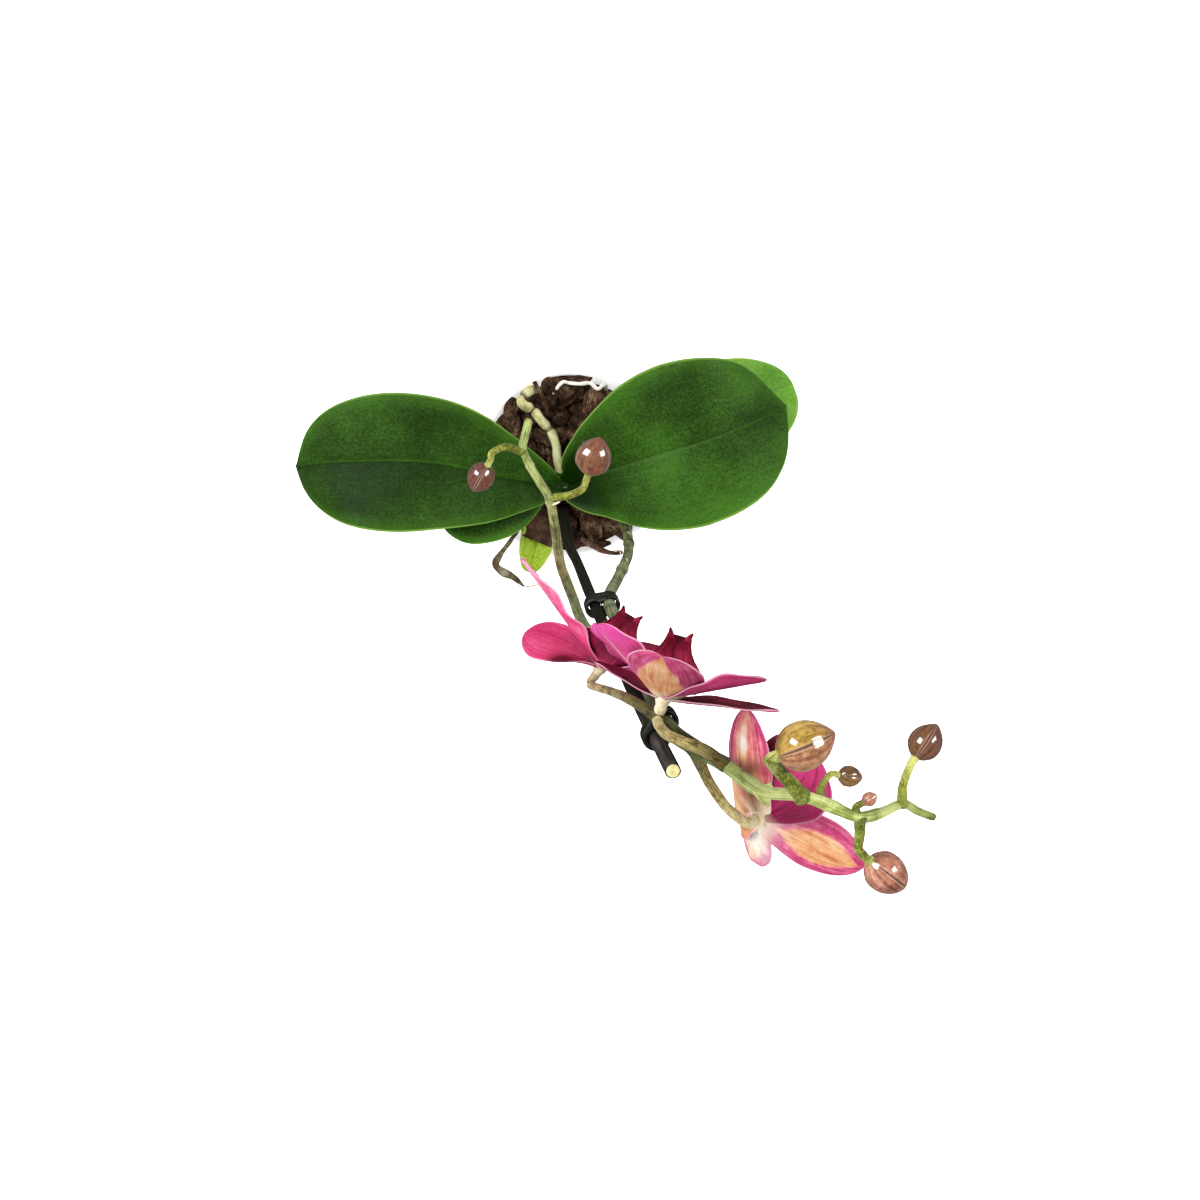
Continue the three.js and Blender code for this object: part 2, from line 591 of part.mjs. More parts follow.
/** Closed bud: three tepals meet at its seams, and it runs to a blunt point. */
function budGeometry({ base, tip, width }) {
  const [from, to] = [vec(base), vec(tip)];
  const axis = to.clone().sub(from).normalize();
  const side = axis.clone().cross(new THREE.Vector3(0, 0, 1)).normalize();
  const other = axis.clone().cross(side);
  const rings = BUD_PLACES.map((place, row) =>
    Array.from({ length: BUD_SIDES }, (_, corner) => {
      const angle = (corner / BUD_SIDES) * 2 * Math.PI;
      const radius = (width / 2) * BUD_SHARES[row] * (corner % 3 ? 1 : 1 - SEAM_DEPTH);
      return from.clone().lerp(to, place)
        .addScaledVector(side, Math.cos(angle) * radius).addScaledVector(other, Math.sin(angle) * radius);
    }));
  return loft(rings);
}

Object.entries(BUDS).forEach(([name, bud]) => addPiece(name, budGeometry(bud), BUD_TAN));

// Spike: the main stem with its branch, every flower stalk and the bracts at its joints
const SPIKE_ROUTE = [
  [3.2, -20, 109], [10, -24, 110.5], [20, -26.5, 114], [28.6, -31.6, 124], [32.4, -41, 146],
  [31.5, -49, 185], [28, -53.5, 225], [22.5, -57.8, 280], [17.9, -60.4, 330], [16.6, -62.6, 364],
  [18.9, -66.1, 410], [22.4, -72, 450], [27.2, -80, 515], [29.6, -84.4, 545], [31, -86.2, 559],
  [34, -88.4, 570], [39.5, -90.9, 579], [48.3, -95, 588], [59.3, -102, 594], [71.1, -103.4, 595],
  [80.8, -107, 593.5], [90.4, -111.4, 590], [97.9, -110.8, 587], [105.8, -108.5, 584], [111.3, -111.5, 581],
  [116.9, -114.1, 578],
];
const SPIKE_RADII = [...Array(15).fill(STEM_RADIUS), 2.9, 2, 1.8, 1.3];
const BRANCH_ROUTE = [
  [19.8, -67.5, 414], [15.2, -65.8, 431], [9.8, -66.6, 448], [5.8, -64, 464], [2.6, -57.5, 478],
  [0.3, -49.8, 490], [-2.3, -42.3, 500], [-4.4, -35.3, 508], [-6.1, -22.2, 518], [-7.9, -12.3, 525],
  [-11.5, -5.9, 527], [-14.3, -1, 528], [-17, 5, 528], [-16.4, 9.5, 526.5], [-15.3, 14.5, 524],
];
const BRANCH_RADII = [2.3, 2.2, 2.1, 2, 1.9, 1.7, 1.5, 1.4];
const FLOWER_STALKS = [
  {
    flower: FLOWER_1, radii: [2, 1.8, 1.6, 1.5],
    route: [[31.4, -86.6, 563], [25, -81.6, 560.5], [17.8, -79.3, 545], [12, -79.5, 526]],
  },
  {
    flower: FLOWER_2, radii: [2.3, 1.9, 1.8, 1.8],
    route: [[48.2, -94.8, 588], [41.2, -89.6, 591], [34.4, -87.4, 588], [29.8, -86.2, 578]],
  },
  {
    flower: FLOWER_3, radii: [2.4, 1.9, 1.8, 1.8],
    route: [[38.5, -90.6, 577], [41.5, -97, 570.5], [45.5, -105.5, 563], [51.8, -114.8, 559]],
  },
];
const BUD_STALKS = [
  {
    bud: BUDS.bud_branch_left, radii: [1.5, 1.2, 1.1],
    route: [[-16.8, 4, 528], [-22.8, 5.9, 530], [-27.6, 3.9, 529.3]],
  },
  {
    bud: BUDS.bud_branch_right, radii: [1.5, 1.3, 1.2],
    route: [[-8, -12, 525], [-0.7, -10.8, 526.5], [3.6, -8.6, 529]],
  },
  {
    bud: BUDS.bud_big, radii: [2.6, 2.1, 1.7],
    route: [[72, -104, 594.5], [67.5, -98.4, 599.5], [62.6, -93, 604]],
  },
  { bud: BUDS.bud_small, radii: [1.6, 1.1, 1], route: [[78, -106, 593.5], [78.6, -101.8, 590]] },
  { bud: BUDS.bud_tiny, radii: [1.4, 1.1], route: [[90, -110.5, 590]] },
  { bud: BUDS.bud_top, radii: [1.8, 1.4, 1.3], route: [[105.6, -108.5, 584], [104.6, -101.5, 589.5]] },
  {
    bud: BUDS.bud_low, radii: [2, 1.6, 1.5],
    route: [[91, -111.5, 590], [91.6, -118, 586.5], [91.8, -123, 583.5]],
  },
];

/** Small scale leaves at the joints of the spike, each from its root to its point. */
const BRACTS = [
  [[32.3, -42.5, 152], [34.6, -43.8, 158.5]], [[28, -53.5, 226], [29.6, -55.2, 233]],
  [[20.2, -66.8, 411], [24.2, -68.6, 420]], [[59.8, -102.4, 594], [61, -106.6, 596]],
  [[-7.9, -12.3, 525], [-10.6, -13.4, 528]],
];

/** Last points of a flower's stalk, in line with its face. */
function intoFlower(flower) {
  const { ahead } = flowerAxes(flower);
  return [-7, -3.2].map((forward) => vec(flower.centre).addScaledVector(ahead, forward).toArray());
}

/** Last points of a bud's stalk, in line with the bud. */
function intoBud({ base, tip }) {
  const axis = vec(tip).sub(vec(base)).normalize();
  return [-2.6, -0.6].map((forward) => vec(base).addScaledVector(axis, forward).toArray());
}

function spikeGeometry() {
  const stalk = ({ route, radii }, end) =>
    stem([...route, ...end], radii, { sides: 6, steps: 2 * (route.length + 1) });
  return fuse([
    stem(SPIKE_ROUTE, SPIKE_RADII, { steps: 44 }),
    stem(BRANCH_ROUTE, BRANCH_RADII, { sides: 7, steps: 19 }),
    ...FLOWER_STALKS.map((one) => stalk(one, intoFlower(one.flower))),
    ...BUD_STALKS.map((one) => stalk(one, intoBud(one.bud))),
    ...BRACTS.map((route) => stem(route, [2.4, 1.9, 0.5], { sides: 5, steps: 2 })),
  ]);
}

addPiece('spike', spikeGeometry(), STEM_GREEN);

export default plant;
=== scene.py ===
"""Potted moth orchid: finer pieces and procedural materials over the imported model.

Routes and sizes repeat the part's own source. They are in millimetres, +Z up, from the centre of the
pot's underside, and every mesh is scaled to metres once, where its body is made.
"""

import math

import bmesh
import bpy
import numpy as np
from mathutils import Matrix, Vector, noise


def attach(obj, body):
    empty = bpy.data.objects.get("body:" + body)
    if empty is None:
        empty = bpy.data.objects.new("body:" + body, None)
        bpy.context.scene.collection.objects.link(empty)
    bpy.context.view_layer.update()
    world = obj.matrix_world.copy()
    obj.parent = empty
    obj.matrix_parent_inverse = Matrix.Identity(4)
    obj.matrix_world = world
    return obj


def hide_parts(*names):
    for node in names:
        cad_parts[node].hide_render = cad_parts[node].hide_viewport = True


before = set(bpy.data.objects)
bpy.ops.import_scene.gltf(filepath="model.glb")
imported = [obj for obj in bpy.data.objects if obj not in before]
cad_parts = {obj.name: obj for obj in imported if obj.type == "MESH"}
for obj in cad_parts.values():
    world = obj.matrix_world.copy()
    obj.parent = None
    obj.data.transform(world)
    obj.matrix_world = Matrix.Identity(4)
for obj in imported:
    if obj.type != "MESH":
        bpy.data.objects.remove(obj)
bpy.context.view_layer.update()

MM = 0.001
UP = (0.0, 0.0, 1.0)

# sizes, as in the part's source
POT_HEIGHT, POT_RIM_RADIUS, POT_FOOT_RADIUS = 112, 61, 43
POT_WALL, POT_FLOOR, RIM_BAND = 4.5, 6, 20
DRAIN_COUNT, DRAIN_RADIUS, DRAIN_RING = 6, 4, 24
BARK_TOP = 97
CROWN_AT = (-6, -14)
STAKE_RADIUS, STEM_RADIUS = 2.6, 2.8
LEAF_THICKNESS, TEPAL_THICKNESS, LIP_THICKNESS = 1.6, 0.8, 0.9

STAKE_ROUTE = [
    (-9, -23.5, 30), (-5.5, -26.7, 100), (-2, -42.2, 211), (3, -50.5, 270), (10.3, -63.8, 364),
    (17.9, -76, 450), (24.2, -85.9, 519), (31.7, -96.4, 590),
]
ROOT_ARCHED_ROUTE = [
    (-19, 44, 84), (-24, 45, 98), (-30.5, 39.5, 105), (-29, 35.5, 108), (-23, 32, 106),
    (-18.5, 26, 108), (-13, 20, 106), (-9.7, 12, 109), (-8.8, 4, 112), (-7.6, -4.3, 113),
]
ROOT_THIN_ROUTE = [
    (-12, 38, 92), (-10, 44, 104), (-5.5, 49, 107), (-1, 48.5, 106), (5, 48, 107),
    (11, 48.5, 106), (15.5, 45, 107), (18.5, 47, 107.5), (20.5, 47.5, 103), (21, 45, 92),
]
ROOT_CURLED_ROUTE = [
    (-30, -33, 88), (-32, -38, 103), (-37, -46, 116), (-43, -54, 119), (-46, -60, 117.5),
    (-42, -64.5, 116), (-35.5, -68, 114), (-29.5, -73.5, 110),
]
ROOT_THREAD_ROUTE = [(-29.8, -73.2, 110.2), (-26, -74, 108), (-19, -72.5, 105), (-12, -71.5, 104),
                     (-6, -74.5, 105)]
ROOT_STUB_ROUTE = [(3, -42, 90), (7, -46, 103), (14, -50, 112.5), (22, -53, 116), (29.5, -53, 116)]
SPIKE_ROUTE = [
    (3.2, -20, 109), (10, -24, 110.5), (20, -26.5, 114), (28.6, -31.6, 124), (32.4, -41, 146),
    (31.5, -49, 185), (28, -53.5, 225), (22.5, -57.8, 280), (17.9, -60.4, 330), (16.6, -62.6, 364),
    (18.9, -66.1, 410), (22.4, -72, 450), (27.2, -80, 515), (29.6, -84.4, 545), (31, -86.2, 559),
    (34, -88.4, 570), (39.5, -90.9, 579), (48.3, -95, 588), (59.3, -102, 594), (71.1, -103.4, 595),
    (80.8, -107, 593.5), (90.4, -111.4, 590), (97.9, -110.8, 587), (105.8, -108.5, 584),
    (111.3, -111.5, 581), (116.9, -114.1, 578),
]
SPIKE_RADII = [STEM_RADIUS] * 15 + [2.9, 2, 1.8, 1.3]
BRANCH_ROUTE = [
    (19.8, -67.5, 414), (15.2, -65.8, 431), (9.8, -66.6, 448), (5.8, -64, 464), (2.6, -57.5, 478),
    (0.3, -49.8, 490), (-2.3, -42.3, 500), (-4.4, -35.3, 508), (-6.1, -22.2, 518), (-7.9, -12.3, 525),
    (-11.5, -5.9, 527), (-14.3, -1, 528), (-17, 5, 528), (-16.4, 9.5, 526.5), (-15.3, 14.5, 524),
]
PALE_NODE_ROUTE = [(-8.8, -13.6, 525.3), (-6.6, -14, 525.5), (-4.4, -13.2, 525.8)]
BRANCH_RADII = [2.3, 2.2, 2.1, 2, 1.9, 1.7, 1.5, 1.4]
BRACTS = [
    ((32.3, -42.5, 152), (34.6, -43.8, 158.5)), ((28, -53.5, 226), (29.6, -55.2, 233)),
    ((20.2, -66.8, 411), (24.2, -68.6, 420)), ((59.8, -102.4, 594), (61, -106.6, 596)),
]


# curves and closed meshes
def vec(values):
    return np.array(values, float)


def unit(vectors):
    return vectors / np.maximum(np.linalg.norm(vectors, axis=-1, keepdims=True), 1e-12)


def circle(sides):
    """Angles spread evenly round a full turn."""
    return np.linspace(0, 2 * np.pi, sides, endpoint=False)


def lathe(profile, angles):
    """Rings through the (radius, height) places of a profile."""
    return np.array([[(r * math.cos(a), r * math.sin(a), z) for a in angles] for r, z in profile])


class Route:
    """Smooth curve through given points, read by its share of length."""

    def __init__(self, points):
        p = vec(points)
        p = np.vstack([2 * p[0] - p[1], p, 2 * p[-1] - p[-2]])
        steps = np.linspace(0, 1, 24, endpoint=False)[:, None]
        pieces = []
        for a, b, c, d in zip(p, p[1:], p[2:], p[3:]):
            pieces.append(0.5 * (2 * b + (c - a) * steps + (2 * a - 5 * b + 4 * c - d) * steps ** 2
                                 + (3 * b - a - 3 * c + d) * steps ** 3))
        self.line = np.vstack(pieces + [p[-2:-1]])
        gaps = np.linalg.norm(np.diff(self.line, axis=0), axis=1)
        self.length = gaps.sum()
        self.share = np.concatenate([[0], np.cumsum(gaps)]) / self.length

    def at(self, t):
        t = np.clip(np.asarray(t, float), 0, 1)
        return np.stack([np.interp(t, self.share, self.line[:, k]) for k in range(3)], axis=-1)

    def tangent(self, t):
        step = 0.006
        return unit(self.at(t + step) - self.at(t - step))


def along(values, t):
    """Linear reading of a list of values spread evenly from 0 to 1."""
    return np.interp(t, np.linspace(0, 1, len(values)), values)


def outline_share(t, widest, base, roundness, point=0):
    """Half width of a blade as a share of its widest. point is how fast the sides meet at a pointed tip."""
    rising = base + (1 - base) * np.sin(np.pi / 2 * np.minimum(t / widest, 1))
    past = np.clip((t - widest) / (1 - widest), 0, 1)
    falling = np.maximum((1 - past ** 2) ** roundness, 0.002)
    if point:
        falling = (falling ** -4 + (point * (1 - past) + 0.002) ** -4) ** -0.25
    return np.where(t < widest, rising, np.maximum(0.02, falling))


class Shape:
    """Closed bodies of one piece. Each corner has a place (u, v) on its own surface. Each vertex has a tint
    and a shade, which is below 0 where the colour is deeper and above 0 where it is whiter; on the flowers
    the shade is painted shade and painted highlight."""

    def __init__(self):
        self.verts, self.faces, self.looks, self.places, self.tints, self.shades = ([] for _ in range(6))
        self.count = 0

    def add(self, verts, faces, look, places, tint=0.5, shade=0.0):
        """Faces have four corners; a triangle repeats its third. look is one material number, or one for
        each face. places has a (u, v) for each corner of each face, or one for each vertex."""
        faces = np.asarray(faces, int)
        places = np.asarray(places, float)
        self.verts.append(verts)
        self.faces.append(faces + self.count)
        self.looks.append(np.broadcast_to(look, len(faces)))
        self.places.append(places if places.ndim == 3 else places[faces])
        self.tints.append(np.broadcast_to(tint, len(verts)))
        self.shades.append(np.broadcast_to(shade, len(verts)))
        self.count += len(verts)

    def body(self, name, materials):
        mesh = bpy.data.meshes.new(name)
        faces = np.vstack(self.faces)
        kept = np.ones(faces.shape, bool)
        kept[:, 3] = faces[:, 3] != faces[:, 2]
        corners = [face[:4 if whole else 3] for face, whole in zip(faces.tolist(), kept[:, 3])]
        mesh.from_pydata((np.vstack(self.verts) * MM).tolist(), [], corners)
        mesh.polygons.foreach_set("material_index", np.concatenate(self.looks).astype(np.int32))
        mesh.polygons.foreach_set("use_smooth", np.ones(len(faces), bool))
        mesh.uv_layers.new(name="place").data.foreach_set("uv", np.vstack(self.places)[kept].ravel())
        for key, values in (("tint", self.tints), ("shade", self.shades)):
            layer = mesh.attributes.new(key, "FLOAT", "POINT")
            layer.data.foreach_set("value", np.concatenate(values).astype(float))
        mesh.update()
        obj = bpy.data.objects.new(name, mesh)
        bpy.context.scene.collection.objects.link(obj)
        for material in materials:
            mesh.materials.append(material)
        return obj

    def piece(self, name, materials, nodes):
        obj = self.body(name, materials)
        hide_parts(*nodes)
        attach(obj, "root")
        return obj


def loft(shape, rings, look=0, end_look=None, tint=0.5, shade=0.0):
    """Closed solid through an array of rings (rows, sides, 3), with a fan at each end."""
    rings = np.asarray(rings, float)
    rows, sides = rings.shape[:2]
    side = np.arange(sides)
    after = (side + 1) % sides
    walls = np.vstack([np.stack([low + side, low + after, low + sides + after, low + sides + side], axis=1)
                       for low in range(0, (rows - 1) * sides, sides)])
    first, last = rows * sides, (rows - 1) * sides
    start = np.stack([np.full(sides, first), after, side, side], axis=1)
    end = np.stack([np.full(sides, first + 1), last + side, last + after, last + after], axis=1)
    looks = np.full(len(walls) + 2 * sides, look)
    if end_look is not None:
        looks[-sides:] = end_look
    verts = np.vstack([rings.reshape(-1, 3), rings[0].mean(0), rings[-1].mean(0)])
    u = side / sides
    past = (side + 1) / sides
    wall_u = np.tile(np.stack([u, past, past, u], axis=1), (rows - 1, 1))
    v = np.linspace(0, 1, rows)
    low_v, high_v = np.repeat(v[:-1], sides), np.repeat(v[1:], sides)
    wall_places = np.stack([wall_u, np.stack([low_v, low_v, high_v, high_v], axis=1)], axis=2)
    fan_u = np.stack([u, past, u, u], axis=1)
    fans = [np.stack([fan_u, np.full((sides, 4), value)], axis=2) for value in (0.0, 1.0)]
    places = np.concatenate([wall_places, *fans])
    shape.add(verts, np.vstack([walls, start, end]), looks, places, tint, shade)


def frames_along(line, t):
    """Tangent, normal and binormal that don't twist along a route."""
    tangents = line.tangent(t)
    seed = vec(UP) if abs(tangents[0][2]) < 0.9 else vec((1, 0, 0))
    normal = unit(seed - tangents[0] * seed.dot(tangents[0]))
    normals = []
    for tangent in tangents:
        normal = unit(normal - tangent * tangent.dot(normal))
        normals.append(normal)
    normals = np.array(normals)
    return tangents, normals, np.cross(tangents, normals)


def tube(shape, route, radii, sides=20, steps=60, dome=0.3, bumps=None, look=0, end_look=None, tint=0.5):
    """Round stem along a route. bumps(t, angle) gives a share added to the radius, and dome is how far the
    rounded ends stand out."""
    line = Route(route)
    t = np.linspace(0, 1, steps + 1)
    tangents, normals, binormals = frames_along(line, t)
    angle = circle(sides)
    centre = line.at(t)
    cosine, sine = np.cos(angle)[:, None], np.sin(angle)[:, None]
    ring = cosine * normals[:, None] + sine * binormals[:, None]
    radius = np.repeat(along(radii, t)[:, None], sides, axis=1)
    if bumps is not None:
        radius = radius * (1 + bumps(t[:, None], angle[None, :]))
    rings = centre[:, None] + ring * radius[..., None]
    if dome:
        low = [centre[0] - tangents[0] * dome * radii[0] * rise + (rings[0] - centre[0]) * shrink
               for rise, shrink in ((1, 0.35), (0.8, 0.65), (0.45, 0.88))]
        high = [centre[-1] + tangents[-1] * dome * radii[-1] * rise + (rings[-1] - centre[-1]) * shrink
                for rise, shrink in ((0.45, 0.88), (0.8, 0.65), (1, 0.35))]
        rings = np.concatenate([low, rings, high])
    loft(shape, rings, look, end_look, tint)


def tint_values(tint, u, t):
    """A tint for each vertex of a grid: one number, a list from base to tip, or a function of (u, t)."""
    if callable(tint):
        return np.clip(tint(u, t), 0, 1).ravel()
    if isinstance(tint, list):
        return along(tint, t).ravel()
    return np.full(u.size, float(tint))


def blade(shape, route, face, width, thickness, *, face_end=None, outline=None, shares=None, fold=0, cup=0,
          wave=0, rows=44, columns=24, relief=None, edge=0.45, looks=(0, 1), tints=(0.5, 0.5), spots=()):
    """Thin closed blade along a midrib, such as a leaf or a petal, as in the part's source. u runs across it
    from -1 to 1 and t along it from 0 to 1. relief(u, t) adds fine height, edge is the thickness of the
    margin as a share, looks and tints are the materials and tints of the upper and the lower face. fold may
    be a list from base to tip. spots are patches of painted shade and painted highlight, deeper or whiter:
    u, t, their half widths and the shade."""
    line = Route(route)
    t = np.sin(np.linspace(0, 1, rows + 1) * np.pi / 2) ** 1.2
    u = np.linspace(-1, 1, columns + 1)
    tangent = line.tangent(t)
    low, high = unit(vec(face)), unit(vec(face if face_end is None else face_end))
    normal = low + (high - low) * t[:, None]
    normal = unit(normal - tangent * (normal * tangent).sum(1, keepdims=True))
    side = np.cross(tangent, normal)
    share = along(shares, t) if shares is not None else outline_share(t, **outline)
    half = (width / 2 * share)[:, None]
    grid_t, grid_u = np.meshgrid(t, u, indexing="ij")
    phase = np.where(grid_u > 0, 0.9, 0.0)
    ripple = wave * share[:, None] * np.abs(grid_u) ** 3 * np.sin(3 * 2 * np.pi * grid_t + phase)
    folds = along(fold, t)[:, None] if isinstance(fold, list) else fold
    lift = half * (folds * np.abs(grid_u) + cup * grid_u ** 2) + ripple
    if relief is not None:
        lift = lift + relief(grid_u, grid_t) * np.minimum(1, share[:, None] * 3)
    sheet = line.at(t)[:, None] + side[:, None] * (half * grid_u)[..., None]
    sheet = sheet + normal[:, None] * lift[..., None]
    out = unit(np.cross(np.gradient(sheet, axis=1), np.gradient(sheet, axis=0)))
    half_thick = thickness / 2 * (edge + (1 - edge) * np.sqrt(np.clip(1 - grid_u ** 2, 0, 1)))
    upper = (sheet + out * half_thick[..., None]).reshape(-1, 3)
    lower = (sheet - out * half_thick[..., None]).reshape(-1, 3)
    at = np.arange((rows + 1) * (columns + 1)).reshape(rows + 1, columns + 1)
    under = at.size
    a, b, c, d = at[:-1, :-1].ravel(), at[:-1, 1:].ravel(), at[1:, 1:].ravel(), at[1:, :-1].ravel()
    top = np.stack([a, b, c, d], axis=1)
    bottom = np.stack([a, d, c, b], axis=1) + under
    rim = np.concatenate([at[0, :-1], at[:-1, -1], at[-1, :0:-1], at[:0:-1, 0]])
    after = np.roll(rim, -1)
    wall = np.stack([rim, rim + under, after + under, after], axis=1)
    faces = np.vstack([top, bottom, wall])
    face_looks = np.repeat(looks, (len(top), len(bottom) + len(wall)))
    places = np.stack([(grid_u.ravel() + 1) / 2, grid_t.ravel()], axis=1)
    tint = np.concatenate([tint_values(one, grid_u, grid_t) for one in tints])
    # painted shade and painted highlights from the spots
    shade = sum((amount * np.exp(-((grid_u - u0) / wide) ** 2 - ((grid_t - t0) / long) ** 2)
                 for u0, t0, wide, long, amount in spots), np.zeros(grid_u.shape)).ravel()
    shape.add(np.vstack([upper, lower]), faces, face_looks, np.vstack([places, places]), tint,
              np.tile(shade, 2))


# materials
LIGHT_LEVEL = 1.75  # brightness of a white sheet that lies on the floor


def linear(colour):
    """Linear colour of a surface that this light shows as three numbers in 0 to 255. A lone number is a
    linear grey, and four numbers are linear already."""
    if not isinstance(colour, tuple):
        return (colour, colour, colour, 1)
    if len(colour) == 4:
        return colour
    shares = [value / 255 for value in colour]
    straight = [share / 12.92 if share <= 0.04045 else ((share + 0.055) / 1.055) ** 2.4 for share in shares]
    return (*(value / LIGHT_LEVEL for value in straight), 1)


class Paint:
    """A node material that is built up line by line. u is the place across or around and v the place along,
    each from 0 to 1, and point is the position in metres."""

    def __init__(self, name, roughness=0.5, coat=0.0, sheen=0.0, through=0.0, specular=0.5):
        self.material = bpy.data.materials.new(name)
        self.material.use_nodes = True
        self.tree = self.material.node_tree
        self.shader = self.tree.nodes["Principled BSDF"]
        self.set({"Roughness": roughness, "Specular IOR Level": specular, "Coat Weight": coat,
                  "Coat Roughness": 0.12, "Sheen Weight": sheen, "Subsurface Weight": through,
                  "Subsurface Radius": (1.0, 0.5, 0.3), "Subsurface Scale": 0.0015})
        split = self.node("SeparateXYZ")
        self.feed(split.inputs[0], self.node("UVMap", uv_map="place").outputs[0])
        self.u, self.v = split.outputs[0], split.outputs[1]
        self.point = self.node("TexCoord").outputs["Object"]

    def set(self, values):
        for socket, value in values.items():
            self.shader.inputs[socket].default_value = value

    def node(self, kind, **settings):
        made = self.tree.nodes.new("ShaderNode" + kind)
        for key, value in settings.items():
            setattr(made, key, value)
        return made

    def feed(self, socket, value):
        if isinstance(value, bpy.types.NodeSocket):
            self.tree.links.new(value, socket)
        else:
            socket.default_value = linear(value) if socket.type == "RGBA" else value

    def math(self, operation, a, b=0.0, clamp=False, addend=0.0):
        made = self.node("Math", operation=operation, use_clamp=clamp)
        self.feed(made.inputs[0], a)
        self.feed(made.inputs[1], b)
        made.inputs[2].default_value = addend
        return made.outputs[0]

    def times(self, a, b):
        return self.math("MULTIPLY", a, b)

    def shifted(self, value, by, amount):
        """A value, moved up or down as another one lies above or below its middle."""
        return self.math("ADD", value, self.times(self.math("SUBTRACT", by, 0.5), amount))

    def joined(self, x, y, z=0.0):
        made = self.node("CombineXYZ")
        for socket, value in zip(made.inputs, (x, y, z)):
            self.feed(socket, value)
        return made.outputs[0]

    def noise(self, vector, scale, detail=4.0, roughness=0.55, distortion=0.0):
        made = self.node("TexNoise")
        self.feed(made.inputs["Vector"], vector)
        made.inputs["Scale"].default_value = scale
        made.inputs["Detail"].default_value = detail
        made.inputs["Roughness"].default_value = roughness
        made.inputs["Distortion"].default_value = distortion
        return made.outputs[0]

    def veins(self, across, along, **settings):
        """Noise drawn out along a blade: how fine it is across it and along it."""
        return self.noise(self.joined(self.times(self.u, across), self.times(self.v, along)), **settings)

    def around(self, fineness, along, **settings):
        """Noise that closes up round a stem: how fine it is across it and along it."""
        angle = self.times(self.u, 2 * math.pi)
        x, y = (self.times(self.math(part, angle), fineness) for part in ("COSINE", "SINE"))
        return self.noise(self.joined(x, y, self.times(self.v, along)), **settings)

    def cells(self, vector, scale):
        made = self.node("TexVoronoi")
        self.feed(made.inputs["Vector"], vector)
        made.inputs["Scale"].default_value = scale
        return made.outputs["Distance"]

    def attribute(self, name):
        return self.node("Attribute", attribute_name=name).outputs["Fac"]

    def off_centre(self, u):
        """Distance from the middle of a u that runs from 0 to 1: 0 at the midrib, 1 at the margin."""
        return self.math("ABSOLUTE", self.math("SUBTRACT", self.times(u, 2.0), 1.0))

    def ramp(self, value, *stops):
        """stops are (place, colour or grey)."""
        made = self.node("ValToRGB")
        self.feed(made.inputs[0], value)
        elements = made.color_ramp.elements
        while len(elements) < len(stops):
            elements.new(0.5)
        for element, (place, colour) in zip(elements, stops):
            element.position = place
            element.color = linear(colour)
        return made.outputs[0]

    def rise(self, value, start, end):
        """0 up to the start and 1 from the end on."""
        return self.ramp(value, (start, 0.0), (end, 1.0))

    def fall(self, value, start, end):
        """1 up to the start and 0 from the end on."""
        return self.ramp(value, (start, 1.0), (end, 0.0))

    def mix(self, factor, a, b, blend="MIX"):
        made = self.node("Mix", data_type="RGBA", blend_type=blend)
        self.feed(made.inputs[0], factor)
        self.feed(made.inputs[6], a)
        self.feed(made.inputs[7], b)
        return made.outputs[2]

    def over(self, colour, other, where, amount):
        """A colour with another one over it."""
        return self.mix(self.times(where, amount), colour, other)

    def shaded(self, colour, cloudy):
        """The colour, deeper or whiter as the shade says, with a cloudy edge. On the flowers this is painted
        shade and painted highlight; on some buds it makes the whole bud deeper.
        """
        shade = self.times(self.attribute("shade"), self.math("MULTIPLY_ADD", cloudy, 1.6, addend=0.2))
        dark, pale = (self.math("MULTIPLY", shade, sign, clamp=True) for sign in (-1.0, 1.0))
        deep = self.mix(1.0, colour, (0.24, 0.16, 0.18, 1), "MULTIPLY")
        return self.mix(pale, self.mix(dark, colour, deep), (255, 252, 244))

    def colour(self, value):
        self.feed(self.shader.inputs["Base Color"], value)

    def rough(self, value, low, high):
        """Roughness that runs from low to high with a noise."""
        self.feed(self.shader.inputs["Roughness"], self.ramp(value, (0.3, low), (0.7, high)))

    def glow(self, strength):
        self.set({"Emission Color": (1, 1, 1, 1), "Emission Strength": strength})

    def bump(self, height, depth):
        """Relief whose depth is in millimetres, over any relief that is there already."""
        made = self.node("Bump")
        self.feed(made.inputs["Height"], height)
        made.inputs["Distance"].default_value = depth * MM
        before = self.shader.inputs["Normal"]
        if before.is_linked:
            self.feed(made.inputs["Normal"], before.links[0].from_socket)
        self.feed(before, made.outputs[0])
        return self


def glaze(name, white, glow):
    """White glaze; the glow stands in for the light that the photo's bright surroundings throw on it."""
    paint = Paint(name, roughness=0.22, coat=0.4)
    worn = (white * 0.94, white * 0.94, white * 0.92, 1)
    paint.colour(paint.ramp(paint.noise(paint.point, 90, detail=6), (0.3, worn), (0.7, white)))
    paint.rough(paint.noise(paint.point, 40), 0.16, 0.3)
    paint.glow(glow)
    return paint.bump(paint.noise(paint.point, 25, detail=2), 0.25).material


